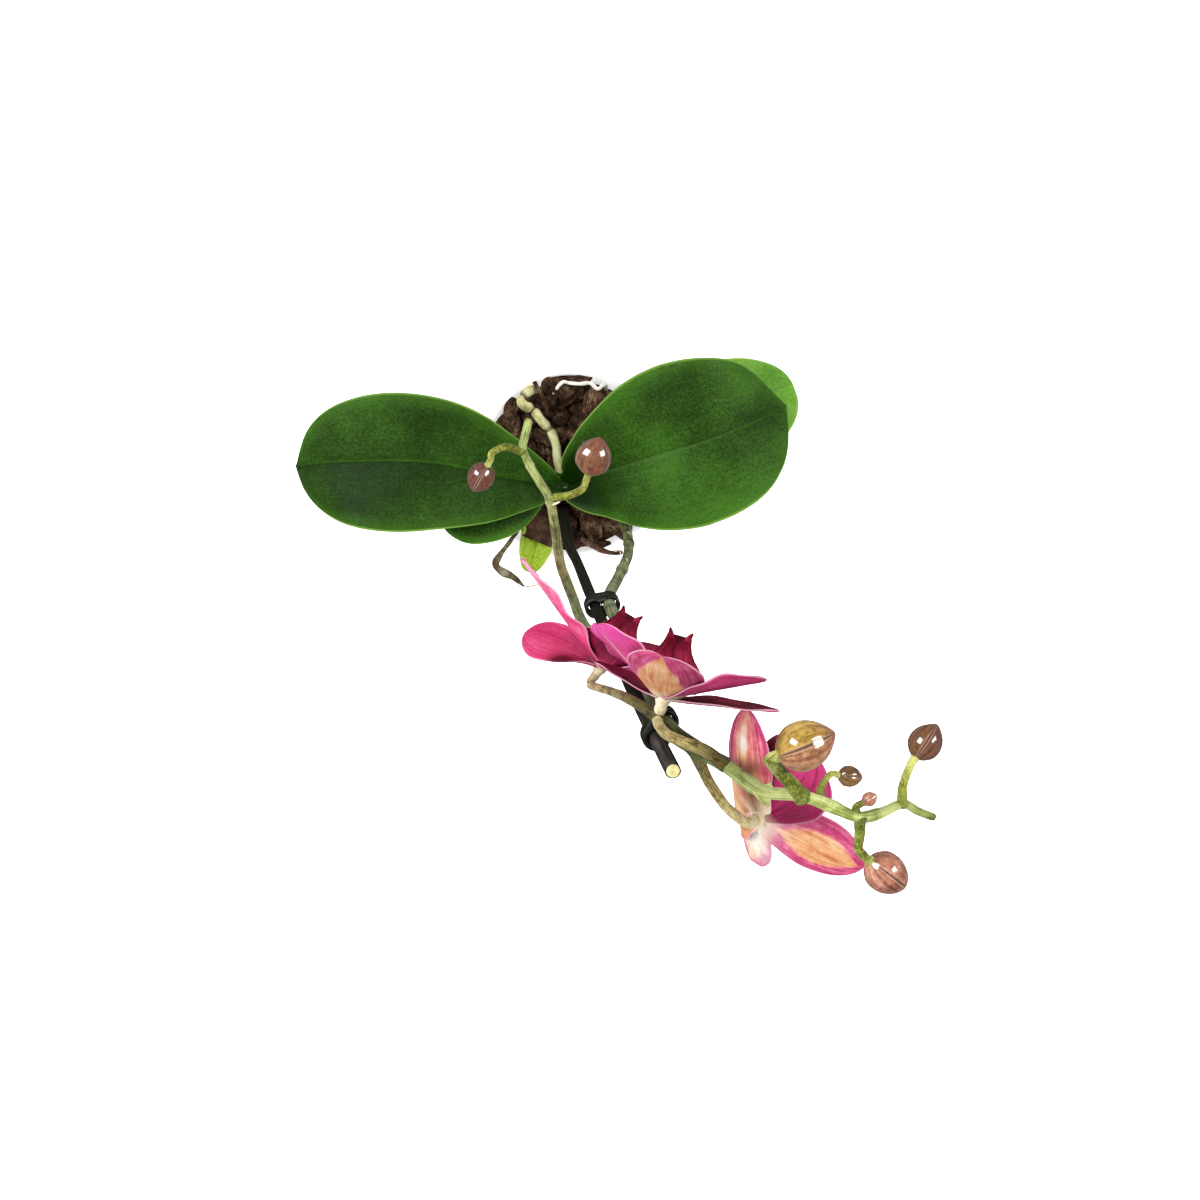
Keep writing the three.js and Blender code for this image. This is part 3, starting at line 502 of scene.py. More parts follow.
def bark():
    """Torn bark: layered grain whose tone also sets its relief, so its hollows are darker, painted shade,
    and a few raised faces paler, painted highlight. The tint is how light a chip is.
    """
    paint = Paint("bark", roughness=0.9, specular=0.15)
    tint = paint.attribute("tint")
    grain = paint.noise(paint.joined(paint.times(paint.u, 9.0), paint.v, tint), 3.2, detail=8, roughness=0.7)
    tone = paint.mix(0.5, paint.noise(paint.point, 150, detail=8, roughness=0.75), grain)
    # painted shade in the hollows and painted highlight on the raised faces, as this tone also sets the
    # relief
    colour = paint.ramp(tone, (0.4, (18, 11, 6)), (0.47, (66, 46, 34)), (0.53, (112, 84, 62)),
                        (0.61, (208, 180, 150)))
    shade = paint.ramp(tint, (0.0, (0.35, 0.3, 0.26, 1)), (0.6, (0.85, 0.74, 0.66, 1)), (1.0, 1.0))
    paint.colour(paint.mix(1.0, colour, shade, "MULTIPLY"))
    paint.bump(tone, 2.6)
    return paint.bump(paint.noise(paint.point, 700), 0.5).material


def leaf(name, dark, middle, light, margin):
    """Waxy leaf: cloudy tone, fine mottling, faint long veins, painted light toward the margins, painted
    shade in the sunken midrib with a painted highlight along one side of it, a thin lighter margin and a few
    pale scars. The tint makes a place lighter or darker."""
    paint = Paint(name, specular=0.08)
    off = paint.off_centre(paint.u)
    clouds = paint.noise(paint.point, 24, roughness=0.6)
    mottle = paint.noise(paint.point, 620, detail=5, roughness=0.8)
    speck = paint.noise(paint.point, 1500, detail=2)
    fine = paint.veins(60.0, 5.0, scale=1.4, detail=3)
    tone = paint.mix(0.08, paint.mix(0.66, clouds, paint.mix(0.4, mottle, speck)), fine)
    tone = paint.shifted(tone, paint.attribute("tint"), 0.4)
    colour = paint.ramp(tone, (0.37, dark), (0.5, middle), (0.64, light))
    # painted light: lighter toward the margins
    colour = paint.over(colour, light, paint.rise(off, 0.75, 1.0), 0.35)
    # painted shade in the sunken midrib
    colour = paint.over(colour, dark, paint.fall(off, 0.0, 0.022), 0.42)
    # painted highlight in a thin line along one side of the midrib
    midrib_highlight = paint.ramp(paint.math("SUBTRACT", paint.u, 0.5), (0.008, 0.0), (0.016, 1.0), (0.034, 0.0))
    colour = paint.over(colour, light, midrib_highlight, 0.35)
    colour = paint.over(colour, margin, paint.rise(off, 0.962, 0.994), 0.8)
    drawn_out = paint.node("Mapping")
    paint.feed(drawn_out.inputs["Vector"], paint.point)
    drawn_out.inputs["Scale"].default_value = (1, 1, 0.05)
    scars = paint.fall(paint.cells(drawn_out.outputs[0], 36), 0.012, 0.024)
    paint.colour(paint.over(colour, (206, 222, 176), scars, 0.7))
    paint.rough(clouds, 0.44, 0.6)
    paint.bump(fine, 0.06)
    return paint.bump(mottle, 0.07).material


def sepal_back():
    """Outside of a sepal: a tan patch that runs through salmon into magenta at its ragged edge, veins along
    it and a pale thin margin. The tint is 1 in the tan and 0 in the magenta."""
    paint = Paint("sepal_back", specular=0.06, through=0.04)
    veins = paint.veins(18.0, 2.2, scale=1.0, detail=5, distortion=0.5)
    cloudy = paint.noise(paint.point, 170, detail=6, roughness=0.7)
    mixed = paint.mix(0.5, veins, cloudy)
    edge = paint.shifted(paint.attribute("tint"), mixed, 1.1)
    tan = paint.ramp(mixed, (0.32, (176, 100, 58)), (0.44, (222, 150, 100)), (0.56, (242, 188, 140)),
                     (0.68, (254, 226, 188)))
    pink = paint.ramp(mixed, (0.34, (156, 36, 80)), (0.5, (208, 78, 128)), (0.66, (238, 138, 174)))
    salmon = paint.ramp(mixed, (0.34, (206, 84, 90)), (0.5, (236, 134, 130)), (0.66, (250, 186, 176)))
    colour = paint.mix(paint.rise(edge, 0.28, 0.5), pink, salmon)
    colour = paint.mix(paint.rise(edge, 0.52, 0.68), colour, tan)
    colour = paint.over(colour, (254, 244, 214), paint.fall(paint.v, 0.02, 0.2), 0.9)
    colour = paint.over(colour, (250, 206, 224), paint.rise(paint.off_centre(paint.u), 0.955, 0.99), 0.7)
    paint.colour(paint.shaded(colour, cloudy))
    paint.bump(cloudy, 0.12)
    return paint.bump(veins, 0.28).material


def petal(name, tones, rim_colour, base, base_reach):
    """Petal or sepal face: veins that fan from its foot, a pale thin margin and a pale foot. tones run from
    the deepest to the palest, and the tint picks among them."""
    paint = Paint(name, specular=0.06, through=0.04)
    veins = paint.veins(30.0, 1.8, scale=1.0, detail=5, distortion=0.4)
    cloudy = paint.noise(paint.point, 130, detail=6, roughness=0.7)
    tone = paint.shifted(paint.attribute("tint"), paint.mix(0.5, veins, cloudy), 1.3)
    colour = paint.ramp(tone, *[(place / (len(tones) - 1), one) for place, one in enumerate(tones)])
    colour = paint.over(colour, base, paint.fall(paint.v, 0.0, base_reach), 0.55)
    colour = paint.over(colour, rim_colour, paint.rise(paint.off_centre(paint.u), 0.955, 0.985), 0.6)
    paint.colour(paint.shaded(colour, cloudy))
    paint.bump(veins, 0.25)
    return paint.bump(paint.noise(paint.point, 1400, detail=2), 0.05).material


def lip_red():
    """Dark crimson lip, nearly black toward its tip and along its fold."""
    paint = Paint("lip_crimson", roughness=0.45, specular=0.08, through=0.04)
    off = paint.off_centre(paint.u)
    veins = paint.veins(16.0, 2.2, scale=1.0)
    tone = paint.mix(0.5, veins, paint.noise(paint.point, 130, detail=6, roughness=0.7))
    colour = paint.ramp(tone, (0.34, (92, 10, 32)), (0.46, (152, 28, 60)), (0.56, (188, 46, 84)),
                        (0.68, (216, 80, 118)))
    fold = paint.ramp(off, (0.0, 0.9), (0.9, 0.45))
    colour = paint.over(colour, (50, 6, 18), paint.rise(paint.v, 0.5, 0.95), fold)
    paint.colour(paint.over(colour, (60, 6, 24), paint.rise(off, 0.93, 0.99), 0.6))
    return paint.bump(veins, 0.4).material


def bud_skin():
    """Glossy closed bud: olive gold where the tint is low and dusty pinkish brown where it is high, with
    dark seams between pale lips."""
    paint = Paint("bud_skin", roughness=0.3, specular=0.1, coat=1.0, through=0.02)
    paint.set({"Coat IOR": 2.0})
    seam = paint.off_centre(paint.math("FRACT", paint.times(paint.u, 3.0)))
    streak = paint.around(3.5, 1.4, scale=1.6, detail=5)
    cloudy = paint.noise(paint.point, 120, detail=5, roughness=0.65)
    tone = paint.mix(0.2, paint.mix(0.6, streak, cloudy), paint.noise(paint.point, 800, detail=3))
    gold = paint.ramp(tone, (0.36, (84, 60, 12)), (0.46, (158, 122, 44)), (0.55, (218, 176, 84)),
                      (0.66, (246, 214, 134)))
    brown = paint.ramp(tone, (0.36, (84, 46, 32)), (0.45, (156, 94, 74)), (0.54, (208, 142, 114)),
                       (0.64, (246, 196, 168)))
    colour = paint.mix(paint.attribute("tint"), gold, brown)
    flush = paint.ramp(paint.v, (0.55, 0.0), (1.0, 0.7))
    colour = paint.shaded(paint.mix(flush, colour, (196, 116, 92)), cloudy)
    lips = paint.ramp(seam, (0.86, 0.0), (0.92, 1.0), (0.945, 0.5))
    colour = paint.over(colour, (240, 206, 180), lips, 0.35)
    ragged = paint.math("ADD", seam, paint.math("MULTIPLY_ADD", cloudy, 0.06, clamp=True, addend=-0.03))
    paint.colour(paint.over(colour, (60, 28, 18), paint.rise(ragged, 0.93, 0.97), 0.75))
    paint.rough(cloudy, 0.25, 0.4)
    paint.bump(cloudy, 0.3)
    return paint.bump(streak, 0.2).material


def stem_skin(name, *stops):
    """Green stem whose tone changes along it: stops are (place, dark, light). Mottled, with fine streaks and
    pale dots."""
    paint = Paint(name, roughness=0.38, specular=0.1, sheen=0.04)
    streak = paint.around(3.8, 30.0, scale=1.0)
    cloudy = paint.noise(paint.point, 210, detail=6, roughness=0.7)
    mixed = paint.mix(0.3, paint.mix(0.5, streak, cloudy), paint.noise(paint.point, 70, detail=3))
    darks = paint.ramp(paint.v, *[(place, dark) for place, dark, _ in stops])
    lights = paint.ramp(paint.v, *[(place, light) for place, _, light in stops])
    colour = paint.mix(paint.rise(mixed, 0.435, 0.565), darks, lights)
    colour = paint.over(colour, (222, 222, 176), paint.fall(paint.cells(paint.point, 520), 0.0, 0.13), 0.3)
    paint.colour(paint.shaded(colour, cloudy))
    return paint.bump(streak, 0.18).material


def root_skin(name, dark, middle, light, marks=(), half=0.02):
    """Dry root or bract. marks are the places along it where it turns dark brown."""
    paint = Paint(name, roughness=0.85, specular=0.15)
    rough = paint.noise(paint.point, 260, detail=6, roughness=0.65)
    tone = paint.mix(0.5, rough, paint.noise(paint.point, 60, detail=3))
    colour = paint.ramp(tone, (0.36, dark), (0.5, middle), (0.64, light))
    if marks:
        stops = [(at + half * side, 0.0 if side else 0.9) for at in marks for side in (-1, 0, 1)]
        colour = paint.mix(paint.ramp(paint.v, *stops), colour, (78, 54, 28))
    paint.colour(colour)
    return paint.bump(rough, 0.8).material


def stake_coat():
    """Dark coat, browner toward the cut end: a painted sheen, patchy with a noise."""
    paint = Paint("stake_coat", roughness=0.6, specular=0.12)
    grain = paint.around(2.4, 40.0, scale=1.0, detail=5)
    worn = paint.noise(paint.point, 70, detail=5)
    black = paint.ramp(grain, (0.3, (4, 3, 1)), (0.7, (34, 30, 22)))
    brown = paint.ramp(grain, (0.3, (44, 37, 34)), (0.7, (118, 106, 100)))
    # painted sheen: patchy brown over the black toward the cut end
    paint.colour(paint.over(black, brown, paint.ramp(worn, (0.35, 0.25), (0.65, 1.0)),
                            paint.rise(paint.v, 0.84, 0.97)))
    return paint.bump(grain, 0.3).material


def cut_wood():
    """Pale end grain with brown pores."""
    paint = Paint("cut_wood", roughness=0.8, specular=0.2)
    fibre = paint.noise(paint.point, 500, detail=5)
    colour = paint.ramp(fibre, (0.3, (214, 196, 128)), (0.6, (250, 240, 178)))
    pores = paint.fall(paint.cells(paint.point, 2200), 0.05, 0.3)
    paint.colour(paint.over(colour, (156, 120, 66), pores, 0.35))
    return paint.bump(fibre, 0.5).material


def two_tone(name, scale, detail, depth, low, high, **surface):
    """Plain surface of two tones of one noise, with its relief's depth. low and high are (place, colour)."""
    paint = Paint(name, **surface)
    tone = paint.noise(paint.point, scale, detail=detail)
    paint.colour(paint.ramp(tone, low, high))
    return paint.bump(tone, depth).material


# pot
def pot_bore(height):
    """Inner radius of the pot at a height."""
    slope = (POT_RIM_RADIUS - POT_FOOT_RADIUS - 0.5) / (POT_HEIGHT - POT_FLOOR)
    return POT_FOOT_RADIUS - POT_WALL + slope * (height - POT_FLOOR)


def build_pot():
    """Lathe of the same outline as the CAD pot, with rounded edges, then the drain holes. The lip, the mouth
    and the inside are in the glowing glaze."""
    sides = 144
    band = POT_HEIGHT - RIM_BAND

    def outer(height):
        return pot_bore(height) + POT_WALL - 1.2

    corner = math.pi / 2
    foot = [(POT_FOOT_RADIUS - 2 + 2 * math.sin(a), 2 - 2 * math.cos(a)) for a in np.linspace(0, corner, 5)]
    lip = [(POT_RIM_RADIUS - 2.6 + 2.6 * math.cos(a), POT_HEIGHT - 2.6 + 2.6 * math.sin(a))
           for a in np.linspace(0, corner, 7)]
    inner = [(pot_bore(POT_HEIGHT) + 0.2 + 1.6 * (1 - math.sin(a)), POT_HEIGHT - 1.8 + 1.6 * math.cos(a))
             for a in np.linspace(0, corner, 5)]
    wall = [(outer(z), z) for z in np.linspace(6, band - 3.5, 8)]
    step = [(outer(band - 2), band - 2), (outer(band - 2) + 0.6, band - 1.2),
            (POT_RIM_RADIUS - 2, band - 0.3), (POT_RIM_RADIUS - 1.4, band + 0.6)]
    side = [(POT_RIM_RADIUS - 1.2, band + 3), (POT_RIM_RADIUS - 0.4, POT_HEIGHT - 8)]
    within = [(pot_bore(z) + 0.2, z) for z in np.linspace(POT_HEIGHT - 6, POT_FLOOR + 2, 8)]
    base = [(pot_bore(POT_FLOOR), POT_FLOOR + 0.6), (pot_bore(POT_FLOOR) - 2, POT_FLOOR)]
    outside = [(1, 0), (20, 0), *foot, *wall, *step, *side, *lip]
    profile = [*outside, *inner, *within, *base, (20, POT_FLOOR), (1, POT_FLOOR)]
    looks = np.ones((len(profile) + 1) * sides, int)
    looks[:(len(outside) - len(lip)) * sides] = 0
    looks[-2 * sides:-sides] = 0
    shape = Shape()
    loft(shape, lathe(profile, circle(sides)), look=looks)
    paints = [glaze("white_glaze", 0.4, 0), glaze("white_glaze_mouth", 0.95, 0.75)]
    pot = shape.piece("pot_glazed", paints, ["pot"])
    drains = Shape()
    for place in range(DRAIN_COUNT):
        turn = (place + 0.5) / DRAIN_COUNT * 2 * math.pi
        x, y = DRAIN_RING * math.cos(turn), DRAIN_RING * math.sin(turn)
        tube(drains, [(x, y, -4), (x, y, POT_FLOOR + 4)], [DRAIN_RADIUS, DRAIN_RADIUS], sides=32, steps=1,
             dome=0)
    cutter = drains.body("drain_cutter", [])
    cut = pot.modifiers.new("drains", "BOOLEAN")
    cut.operation = "DIFFERENCE"
    cut.object = cutter
    cut.solver = "EXACT"
    graph = bpy.context.evaluated_depsgraph_get()
    pot.data = bpy.data.meshes.new_from_object(pot.evaluated_get(graph))
    pot.modifiers.clear()
    bpy.data.objects.remove(cutter)


# bark
def add_chip(shape, draw, centre, size, tilt=0.5, turn=None, tint=None, rough=1.0):
    """One broken bark chip: an angular block with torn, layered sides. size is length, breadth and depth."""
    chip = bmesh.new()
    bmesh.ops.create_cube(chip, size=1)
    bmesh.ops.subdivide_edges(chip, edges=chip.edges[:], cuts=5, use_grid_fill=True)
    verts = np.array([v.co for v in chip.verts])
    faces = [[v.index for v in f.verts] for f in chip.faces]
    chip.free()
    ball = verts / np.maximum(np.linalg.norm(verts, axis=1, keepdims=True) * 2, 1e-9)
    verts = (ball * 0.3 + verts * 0.7) * 1.08
    x = verts[:, :1].copy()
    verts[:, 1:] *= 1 - 0.5 * np.abs(x) * draw.uniform(0.2, 1.3) - 0.4 * x * draw.uniform(-1, 1)
    verts[:, :1] += 0.35 * verts[:, 1:2] * draw.uniform(-1, 1)
    verts = verts * size
    seed = Vector(draw.uniform(-50, 50, 3))
    for index, point in enumerate(verts):
        wide = noise.noise_vector(Vector(point) * 0.17 + seed)
        layered = noise.noise_vector(Vector((point[0] * 0.1, point[1] * 0.6, point[2] * 0.9)) + seed)
        verts[index] = point + rough * (np.array(wide) * 1.7 + np.array(layered) * (0.4, 0.9, 0.9))
    turn = draw.uniform(0, 2 * math.pi) if turn is None else turn
    spin = Matrix.Rotation(turn, 3, "Z") @ Matrix.Rotation(
        draw.uniform(-tilt, tilt), 3, "Y") @ Matrix.Rotation(draw.uniform(-tilt, tilt), 3, "X")
    places = np.stack([verts[:, 1] / size[1] + 0.5, verts[:, 0] / size[0] + 0.5], axis=1)
    verts = verts @ np.array(spin).T + vec(centre)
    shape.add(verts, faces, 0, places, draw.uniform(0, 1) if tint is None else tint)


# chips that show in the photograph: centre, size, turn in degrees, tint
PLACED_CHIPS = [
    ((-3, 50.5, 99), (29, 5.5, 6), 3, 0.35), ((-19, 42, 103), (21, 2.2, 2.4), -62, 0.75),
    ((14, 33, 101), (24, 15, 6), 100, 0.55), ((4, 22, 100), (18, 12, 6), 70, 0.4),
    ((30, 25, 101), (17, 9, 5), 40, 0.7), ((-37, 31, 101), (18, 9, 5), 75, 0.7),
    ((-41, 20, 100), (15, 8, 5), 120, 0.45), ((-30, 15, 101), (17, 8, 5), 60, 0.5),
    ((12, -36, 102), (20, 12, 7), 105, 0.75), ((26, -37, 103), (22, 10, 6), 150, 0.9),
    ((1, -47, 100), (15, 9, 6), 20, 0.3), ((36, -28, 101), (16, 9, 6), 10, 0.5),
    ((17, -49, 99), (14, 6, 5), 170, 0.55),
]


# layers of chips: count, height, how far they rise and fall, longest chip
CHIP_LAYERS = [(60, 91.5, 1.5, 15), (46, 96, 2.5, 19), (16, 99.5, 1.5, 17)]


def build_bark():
    """Layers of loose chips over a bed tinted darkest, painted shade in the gaps between the chips, inside
    the pot.
    """
    draw = np.random.default_rng(11)
    noise.seed_set(11)
    shape = Shape()
    profile = [(2, POT_FLOOR + 0.4), (pot_bore(POT_FLOOR) - 3, POT_FLOOR + 0.4), (pot_bore(12) - 0.6, 12),
               (pot_bore(60) - 0.6, 60), (pot_bore(88) - 0.8, 88), (44, 90.5), (34, 91), (22, 90.6),
               (10, 91.2), (1, 91)]
    rings = lathe(profile, circle(72))
    for ring in rings[5:9]:
        ring[:, 2] += draw.uniform(-1.2, 1.2, len(ring))
    # the bed's low tint is painted shade in the gaps between the chips
    loft(shape, rings, tint=0.05)
    golden = math.pi * (3 - math.sqrt(5))
    for layer, (count, height, rise, big) in enumerate(CHIP_LAYERS):
        for place in range(count):
            length = draw.uniform(0.6, 1) * big
            reach = pot_bore(BARK_TOP) - 0.5 * length - 1.5
            radius = reach * math.sqrt((place + 0.5) / count)
            turn = place * golden + layer * 1.7
            lift = 3.5 * max(0, radius / reach - 0.75) / 0.25
            level = height + lift + draw.uniform(-rise, rise)
            centre = (radius * math.cos(turn), radius * math.sin(turn), level)
            add_chip(shape, draw, centre, (length, draw.uniform(6, 12), draw.uniform(4, 7)))
    for centre, size, turn, tint in PLACED_CHIPS:
        add_chip(shape, draw, centre, size, 0.18, math.radians(turn), tint, 0.7)
    chips = shape.piece("bark_chips", [bark()], ["bark_bed"])
    chips.data.polygons.foreach_set("use_smooth", np.zeros(len(chips.data.polygons), bool))


# crown, leaves and roots
BROAD_LEAF = dict(widest=0.56, base=0.24, roundness=0.5)


def leaf_relief(seed):
    """Height over a leaf: a sunken midrib, faint long ribs and slow waves."""
    def relief(u, t):
        rib = -0.9 * np.exp(-(u / 0.05) ** 2) * (1 - 0.6 * t)
        ribs = 0.07 * np.cos(u * 46 + 2 * np.sin(3 * t)) * (1 - np.abs(u))
        slow = 1.1 * np.sin(5.1 * t + seed) * u + 0.7 * np.sin(9 * t + 3 * u + seed * 2) * u ** 2
        return rib + ribs + slow
    return relief


def build_leaf(name, route, width, outline, fold, cup, wave, upper, lower, seed, tint=0.5):
    """One leaf. upper and lower are its materials."""
    shape = Shape()
    blade(shape, route, UP, width, LEAF_THICKNESS, outline=outline, fold=fold, cup=cup, wave=wave,
          rows=90, columns=48, relief=leaf_relief(seed), edge=0.5, tints=(tint, 0.5))
    shape.piece(name + "_waxy", [upper, lower], [name])


def build_leaves():
    """The bases of the two broad leaves run on over the crown, folded like a gutter, until they meet."""
    dark = leaf("leaf_dark", (10, 34, 0), (36, 67, 12), (66, 114, 28), (142, 186, 80))
    under = leaf("leaf_under", (60, 98, 34), (84, 124, 48), (108, 148, 66), (150, 176, 90))
    pale = leaf("leaf_pale", (56, 112, 20), (112, 172, 58), (158, 208, 96), (214, 238, 140))
    young = leaf("leaf_young", (100, 126, 12), (158, 186, 54), (206, 222, 100), (190, 176, 90))

    # painted light and shade on the upper left leaf: upper half a little lighter, a darker band below the
    # midrib and lighter margins
    def left_painted_light(u, t):
        upper = np.clip(u / 0.04, 0, 1)
        return 0.42 + 0.04 * upper - 0.1 * np.exp(-(u / 0.3) ** 2) * (1 - upper) + 0.22 * np.abs(u) ** 4

    # painted light and shade on the upper right leaf: lighter and darker patches, a much darker base by the
    # crown and lighter margins
    def right_painted_light(u, t):
        def patch(u0, t0, wide, long):
            return np.exp(-((u - u0) / wide) ** 2 - ((t - t0) / long) ** 2)
        patches = (0.14 * patch(0.4, 0.42, 0.45, 0.24) + 0.12 * patch(-0.2, 0.42, 0.3, 0.14)
                   - 0.16 * patch(-0.7, 0.62, 0.35, 0.14) - 0.14 * patch(0.1, 0.8, 0.4, 0.12)
                   + 0.14 * patch(-0.55, 0.84, 0.3, 0.1))
        return 0.57 + patches - 0.5 * np.exp(-(t / 0.24) ** 2) + 0.24 * np.abs(u) ** 4

    # painted shade on the lower left leaf, which lies under the others: deep all over, lighter toward its
    # margins and its tip
    def low_left_painted_shade(u, t):
        return 0.2 + 0.9 * np.abs(u) ** 4 + 0.2 * t

    build_leaf("leaf_upper_left",
               [(-7.4, -12.4, 112.5), (-15.2, -12.6, 117), (-46, -7, 139), (-82, 0, 150), (-128, 0.6, 146),
                (-162, -1.2, 131)],
               80, dict(widest=0.62, base=0.11, roundness=0.5, point=4.2),
               [0.8, 0.3, 0.18, 0.16, 0.16, 0.16, 0.16], -0.05, 1.2, dark, under, 0.4,
               left_painted_light)
    build_leaf("leaf_upper_right",
               [(-4.4, -12.2, 113), (2.8, -11, 117.5), (22, -3, 138), (51, 6.5, 155), (81, 16, 159),
                (105, 25.5, 153), (125, 34, 137)],
               96, dict(widest=0.567, base=0.142, roundness=0.54, point=2.6),
               [0.8, 0.28, 0.16, 0.14, 0.14, 0.14, 0.14], -0.06, 1.2, dark, under, 1.9,
               right_painted_light)
    build_leaf("leaf_lower_left", [(-16.8, -14.5, 107), (-35, -20, 122), (-58, -27, 128), (-79, -33, 122)],
               43, BROAD_LEAF, 0.18, 0, 0.8, dark, under, 2.6, low_left_painted_shade)
    build_leaf("leaf_lower_right",
               [(3.5, -10, 107), (39, 7, 129), (77, 23, 136), (110, 37, 129), (131, 48, 117)],
               68, BROAD_LEAF, 0.15, 0, 1, pale, under, 3.5)
    build_leaf("leaf_small_front",
               [(-13.5, -22.3, 106.5), (-18.5, -36, 111), (-22, -50, 116), (-24.5, -60, 116),
                (-26, -65, 110.5)],
               20, dict(widest=0.56, base=0.34, roundness=0.85), 0.25, 0, 0.5, young, young,
               4.2)
    build_crown(dark, pale)


# sheaths round the crown: turn, lowest and highest place, spread, material
SHEATHS = [(3.2, 94, 112, 0.9, 1), (0.1, 94, 112, 0.9, 1), (4.4, 93, 108, 1.1, 2), (1.6, 95, 114, 1.0, 1),
           (5.6, 93, 105, 0.9, 2)]


def build_crown(dark, pale):
    """Short stem wrapped in the folded bases of its leaves, with a dry brown leaf base in front."""
    dry = root_skin("dry_sheath", (36, 22, 14), (66, 44, 32), (104, 76, 60))
    shape = Shape()
    x, y = CROWN_AT

    def ridges(t, angle):
        return 0.07 * np.abs(np.sin(angle + 0.4)) - 0.05 * np.cos(3 * angle + 5 * t)

    tube(shape, [(x, y, 84), (x, y, 98), (x, y, 114)], [8.2, 9, 9, 8.4, 5.2], sides=40, steps=30,
         bumps=ridges, dome=0.5, look=1, tint=0.2)
    for turn, low, high, spread, look in SHEATHS:
        out = vec((math.cos(turn), math.sin(turn), 0))
        route = [vec((x, y, low)) + out * 9.0, vec((x, y, (low + high) / 2)) + out * 9.5,
                 vec((x, y, high)) + out * 7.6]
        blade(shape, route, out, 12, 0.9, shares=[0.9, 1, 0.95, 0.7, 0.1], cup=-spread * 0.55, rows=14,
              columns=14, looks=(look, look), tints=(0.3, 0.3))
    blade(shape, [(-12, -24, 108), (-15, -31, 114.5), (-18.5, -38.5, 117.5), (-21.5, -46, 119)], UP, 23, 1.1,
          shares=[0.5, 0.85, 1, 0.98, 0.84], cup=-0.3, wave=1.2, rows=26, columns=24, looks=(2, 2),
          relief=lambda u, t: 0.4 * np.sin(9 * u + 4 * t) + 0.5 * np.sin(17 * t + 5 * u) * u)
    shape.piece("crown_sheaths", [pale, dark, dry], ["crown"])


def build_roots():
    """The four aerial roots. The curled one ends in a fine thread and the stub in its pale core."""
    cream = root_skin("root_cream_skin", (176, 164, 102), (232, 230, 168), (254, 253, 222),
                      marks=(0.1, 0.31, 0.47, 0.66), half=0.025)
    white = root_skin("root_white_skin", (220, 208, 190), (252, 246, 236), (255, 254, 250))
    grey = root_skin("root_grey_skin", (50, 40, 26), (104, 96, 70), (168, 164, 138), marks=(0.2, 0.66, 0.9),
                     half=0.06)
    brown = root_skin("root_brown_skin", (48, 26, 18), (92, 62, 50), (150, 120, 96))

    def knobs(count, depth, seed):
        def bumps(t, angle):
            beat = np.cos(2 * np.pi * count * t + seed)
            return depth * beat + 0.05 * np.sin(7 * angle + 40 * t) * np.cos(23 * t)
        return bumps

    def jointed(t, angle):
        waist = sum(np.exp(-((t - place) / 0.02) ** 2) for place in (0.1, 0.31, 0.47, 0.66))
        return 0.08 - 0.42 * waist + 0.05 * np.sin(5 * angle + 31 * t) * np.cos(17 * t)

    def flattened(t, angle):
        flat = np.exp(-((t - 0.8) / 0.13) ** 2)
        return 0.3 * flat * np.cos(2 * angle) + 0.1 * np.cos(40 * t) + 0.1 * flat * np.cos(9 * angle)

    roots = [
        ("root_arched", ROOT_ARCHED_ROUTE, [2.2, 2.4, 3, 2.5, 3.1, 2.5, 2.9, 2.4, 2.5, 2.2], cream,
         "root_cream", jointed),
        ("root_thin", ROOT_THIN_ROUTE, [1, 1.2, 1, 1.2, 1.1, 1], white, "root_cream", knobs(9, 0.1, 1.2)),
        ("root_curled", ROOT_CURLED_ROUTE, [1.4, 1.4, 1.3, 1.4, 2.2, 2.6, 0.7], grey, "root_dark",
         flattened),
        ("root_stub", ROOT_STUB_ROUTE, [1.6, 1.9, 1.7, 1.3], brown, "root_dark", knobs(4, 0.1, 0.8)),
    ]
    for name, route, radii, paint, slot, bumps in roots:
        shape = Shape()
        tube(shape, route, radii, sides=20, steps=120, bumps=bumps, dome=0.8)
        paints = [paint]
        if name == "root_curled":
            tube(shape, ROOT_THREAD_ROUTE, [0.5, 0.4, 0.4, 0.3, 0.25], sides=10, steps=50, dome=0.8, look=1)
            paints.append(root_skin("root_thread", (190, 130, 90), (226, 172, 128), (250, 214, 176)))
        if name == "root_stub":
            tube(shape, [(25.5, -53, 116.05), (29.2, -53, 116)], [1.5, 1.45], sides=16, steps=8, dome=0.9,
                 look=1)
            paints.append(white)
        shape.piece(name + "_skin", paints, [name])


# stake and clips: places of the stake and the stem in each clip, its axis, its height
CLIPS = {
    "clip_lower": ((10.3, -63.8, 364), (16.6, -62.6, 364), (0.045, -0.108, 1), 11),
    "clip_upper": ((27.9, -90.9, 554.6), (30.6, -85.7, 554.6), (0.1, -0.15, 1), 6.5),
}
CLIP_WALL, CLIP_PLAY = 1.3, 0.8


def build_stake():
    """Coated stake with its pale cut end."""
    shape = Shape()

    def joints(t, angle):
        return 0.02 * np.sin(3 * angle + 9 * t) + 0.015 * np.sin(40 * t)

    tube(shape, STAKE_ROUTE, [STAKE_RADIUS, STAKE_RADIUS], sides=28, steps=90, bumps=joints, dome=0.02,
         end_look=1)
    end, before = vec(STAKE_ROUTE[-1]), vec(STAKE_ROUTE[-2])
    ahead = unit(end - before)
    tube(shape, [end - ahead * 0.6, end + ahead * 0.35], [STAKE_RADIUS * 0.86, STAKE_RADIUS * 0.82],
         sides=24, steps=2, dome=0.1, look=1)
    shape.piece("stake_coated", [stake_coat(), cut_wood()], ["stake"])


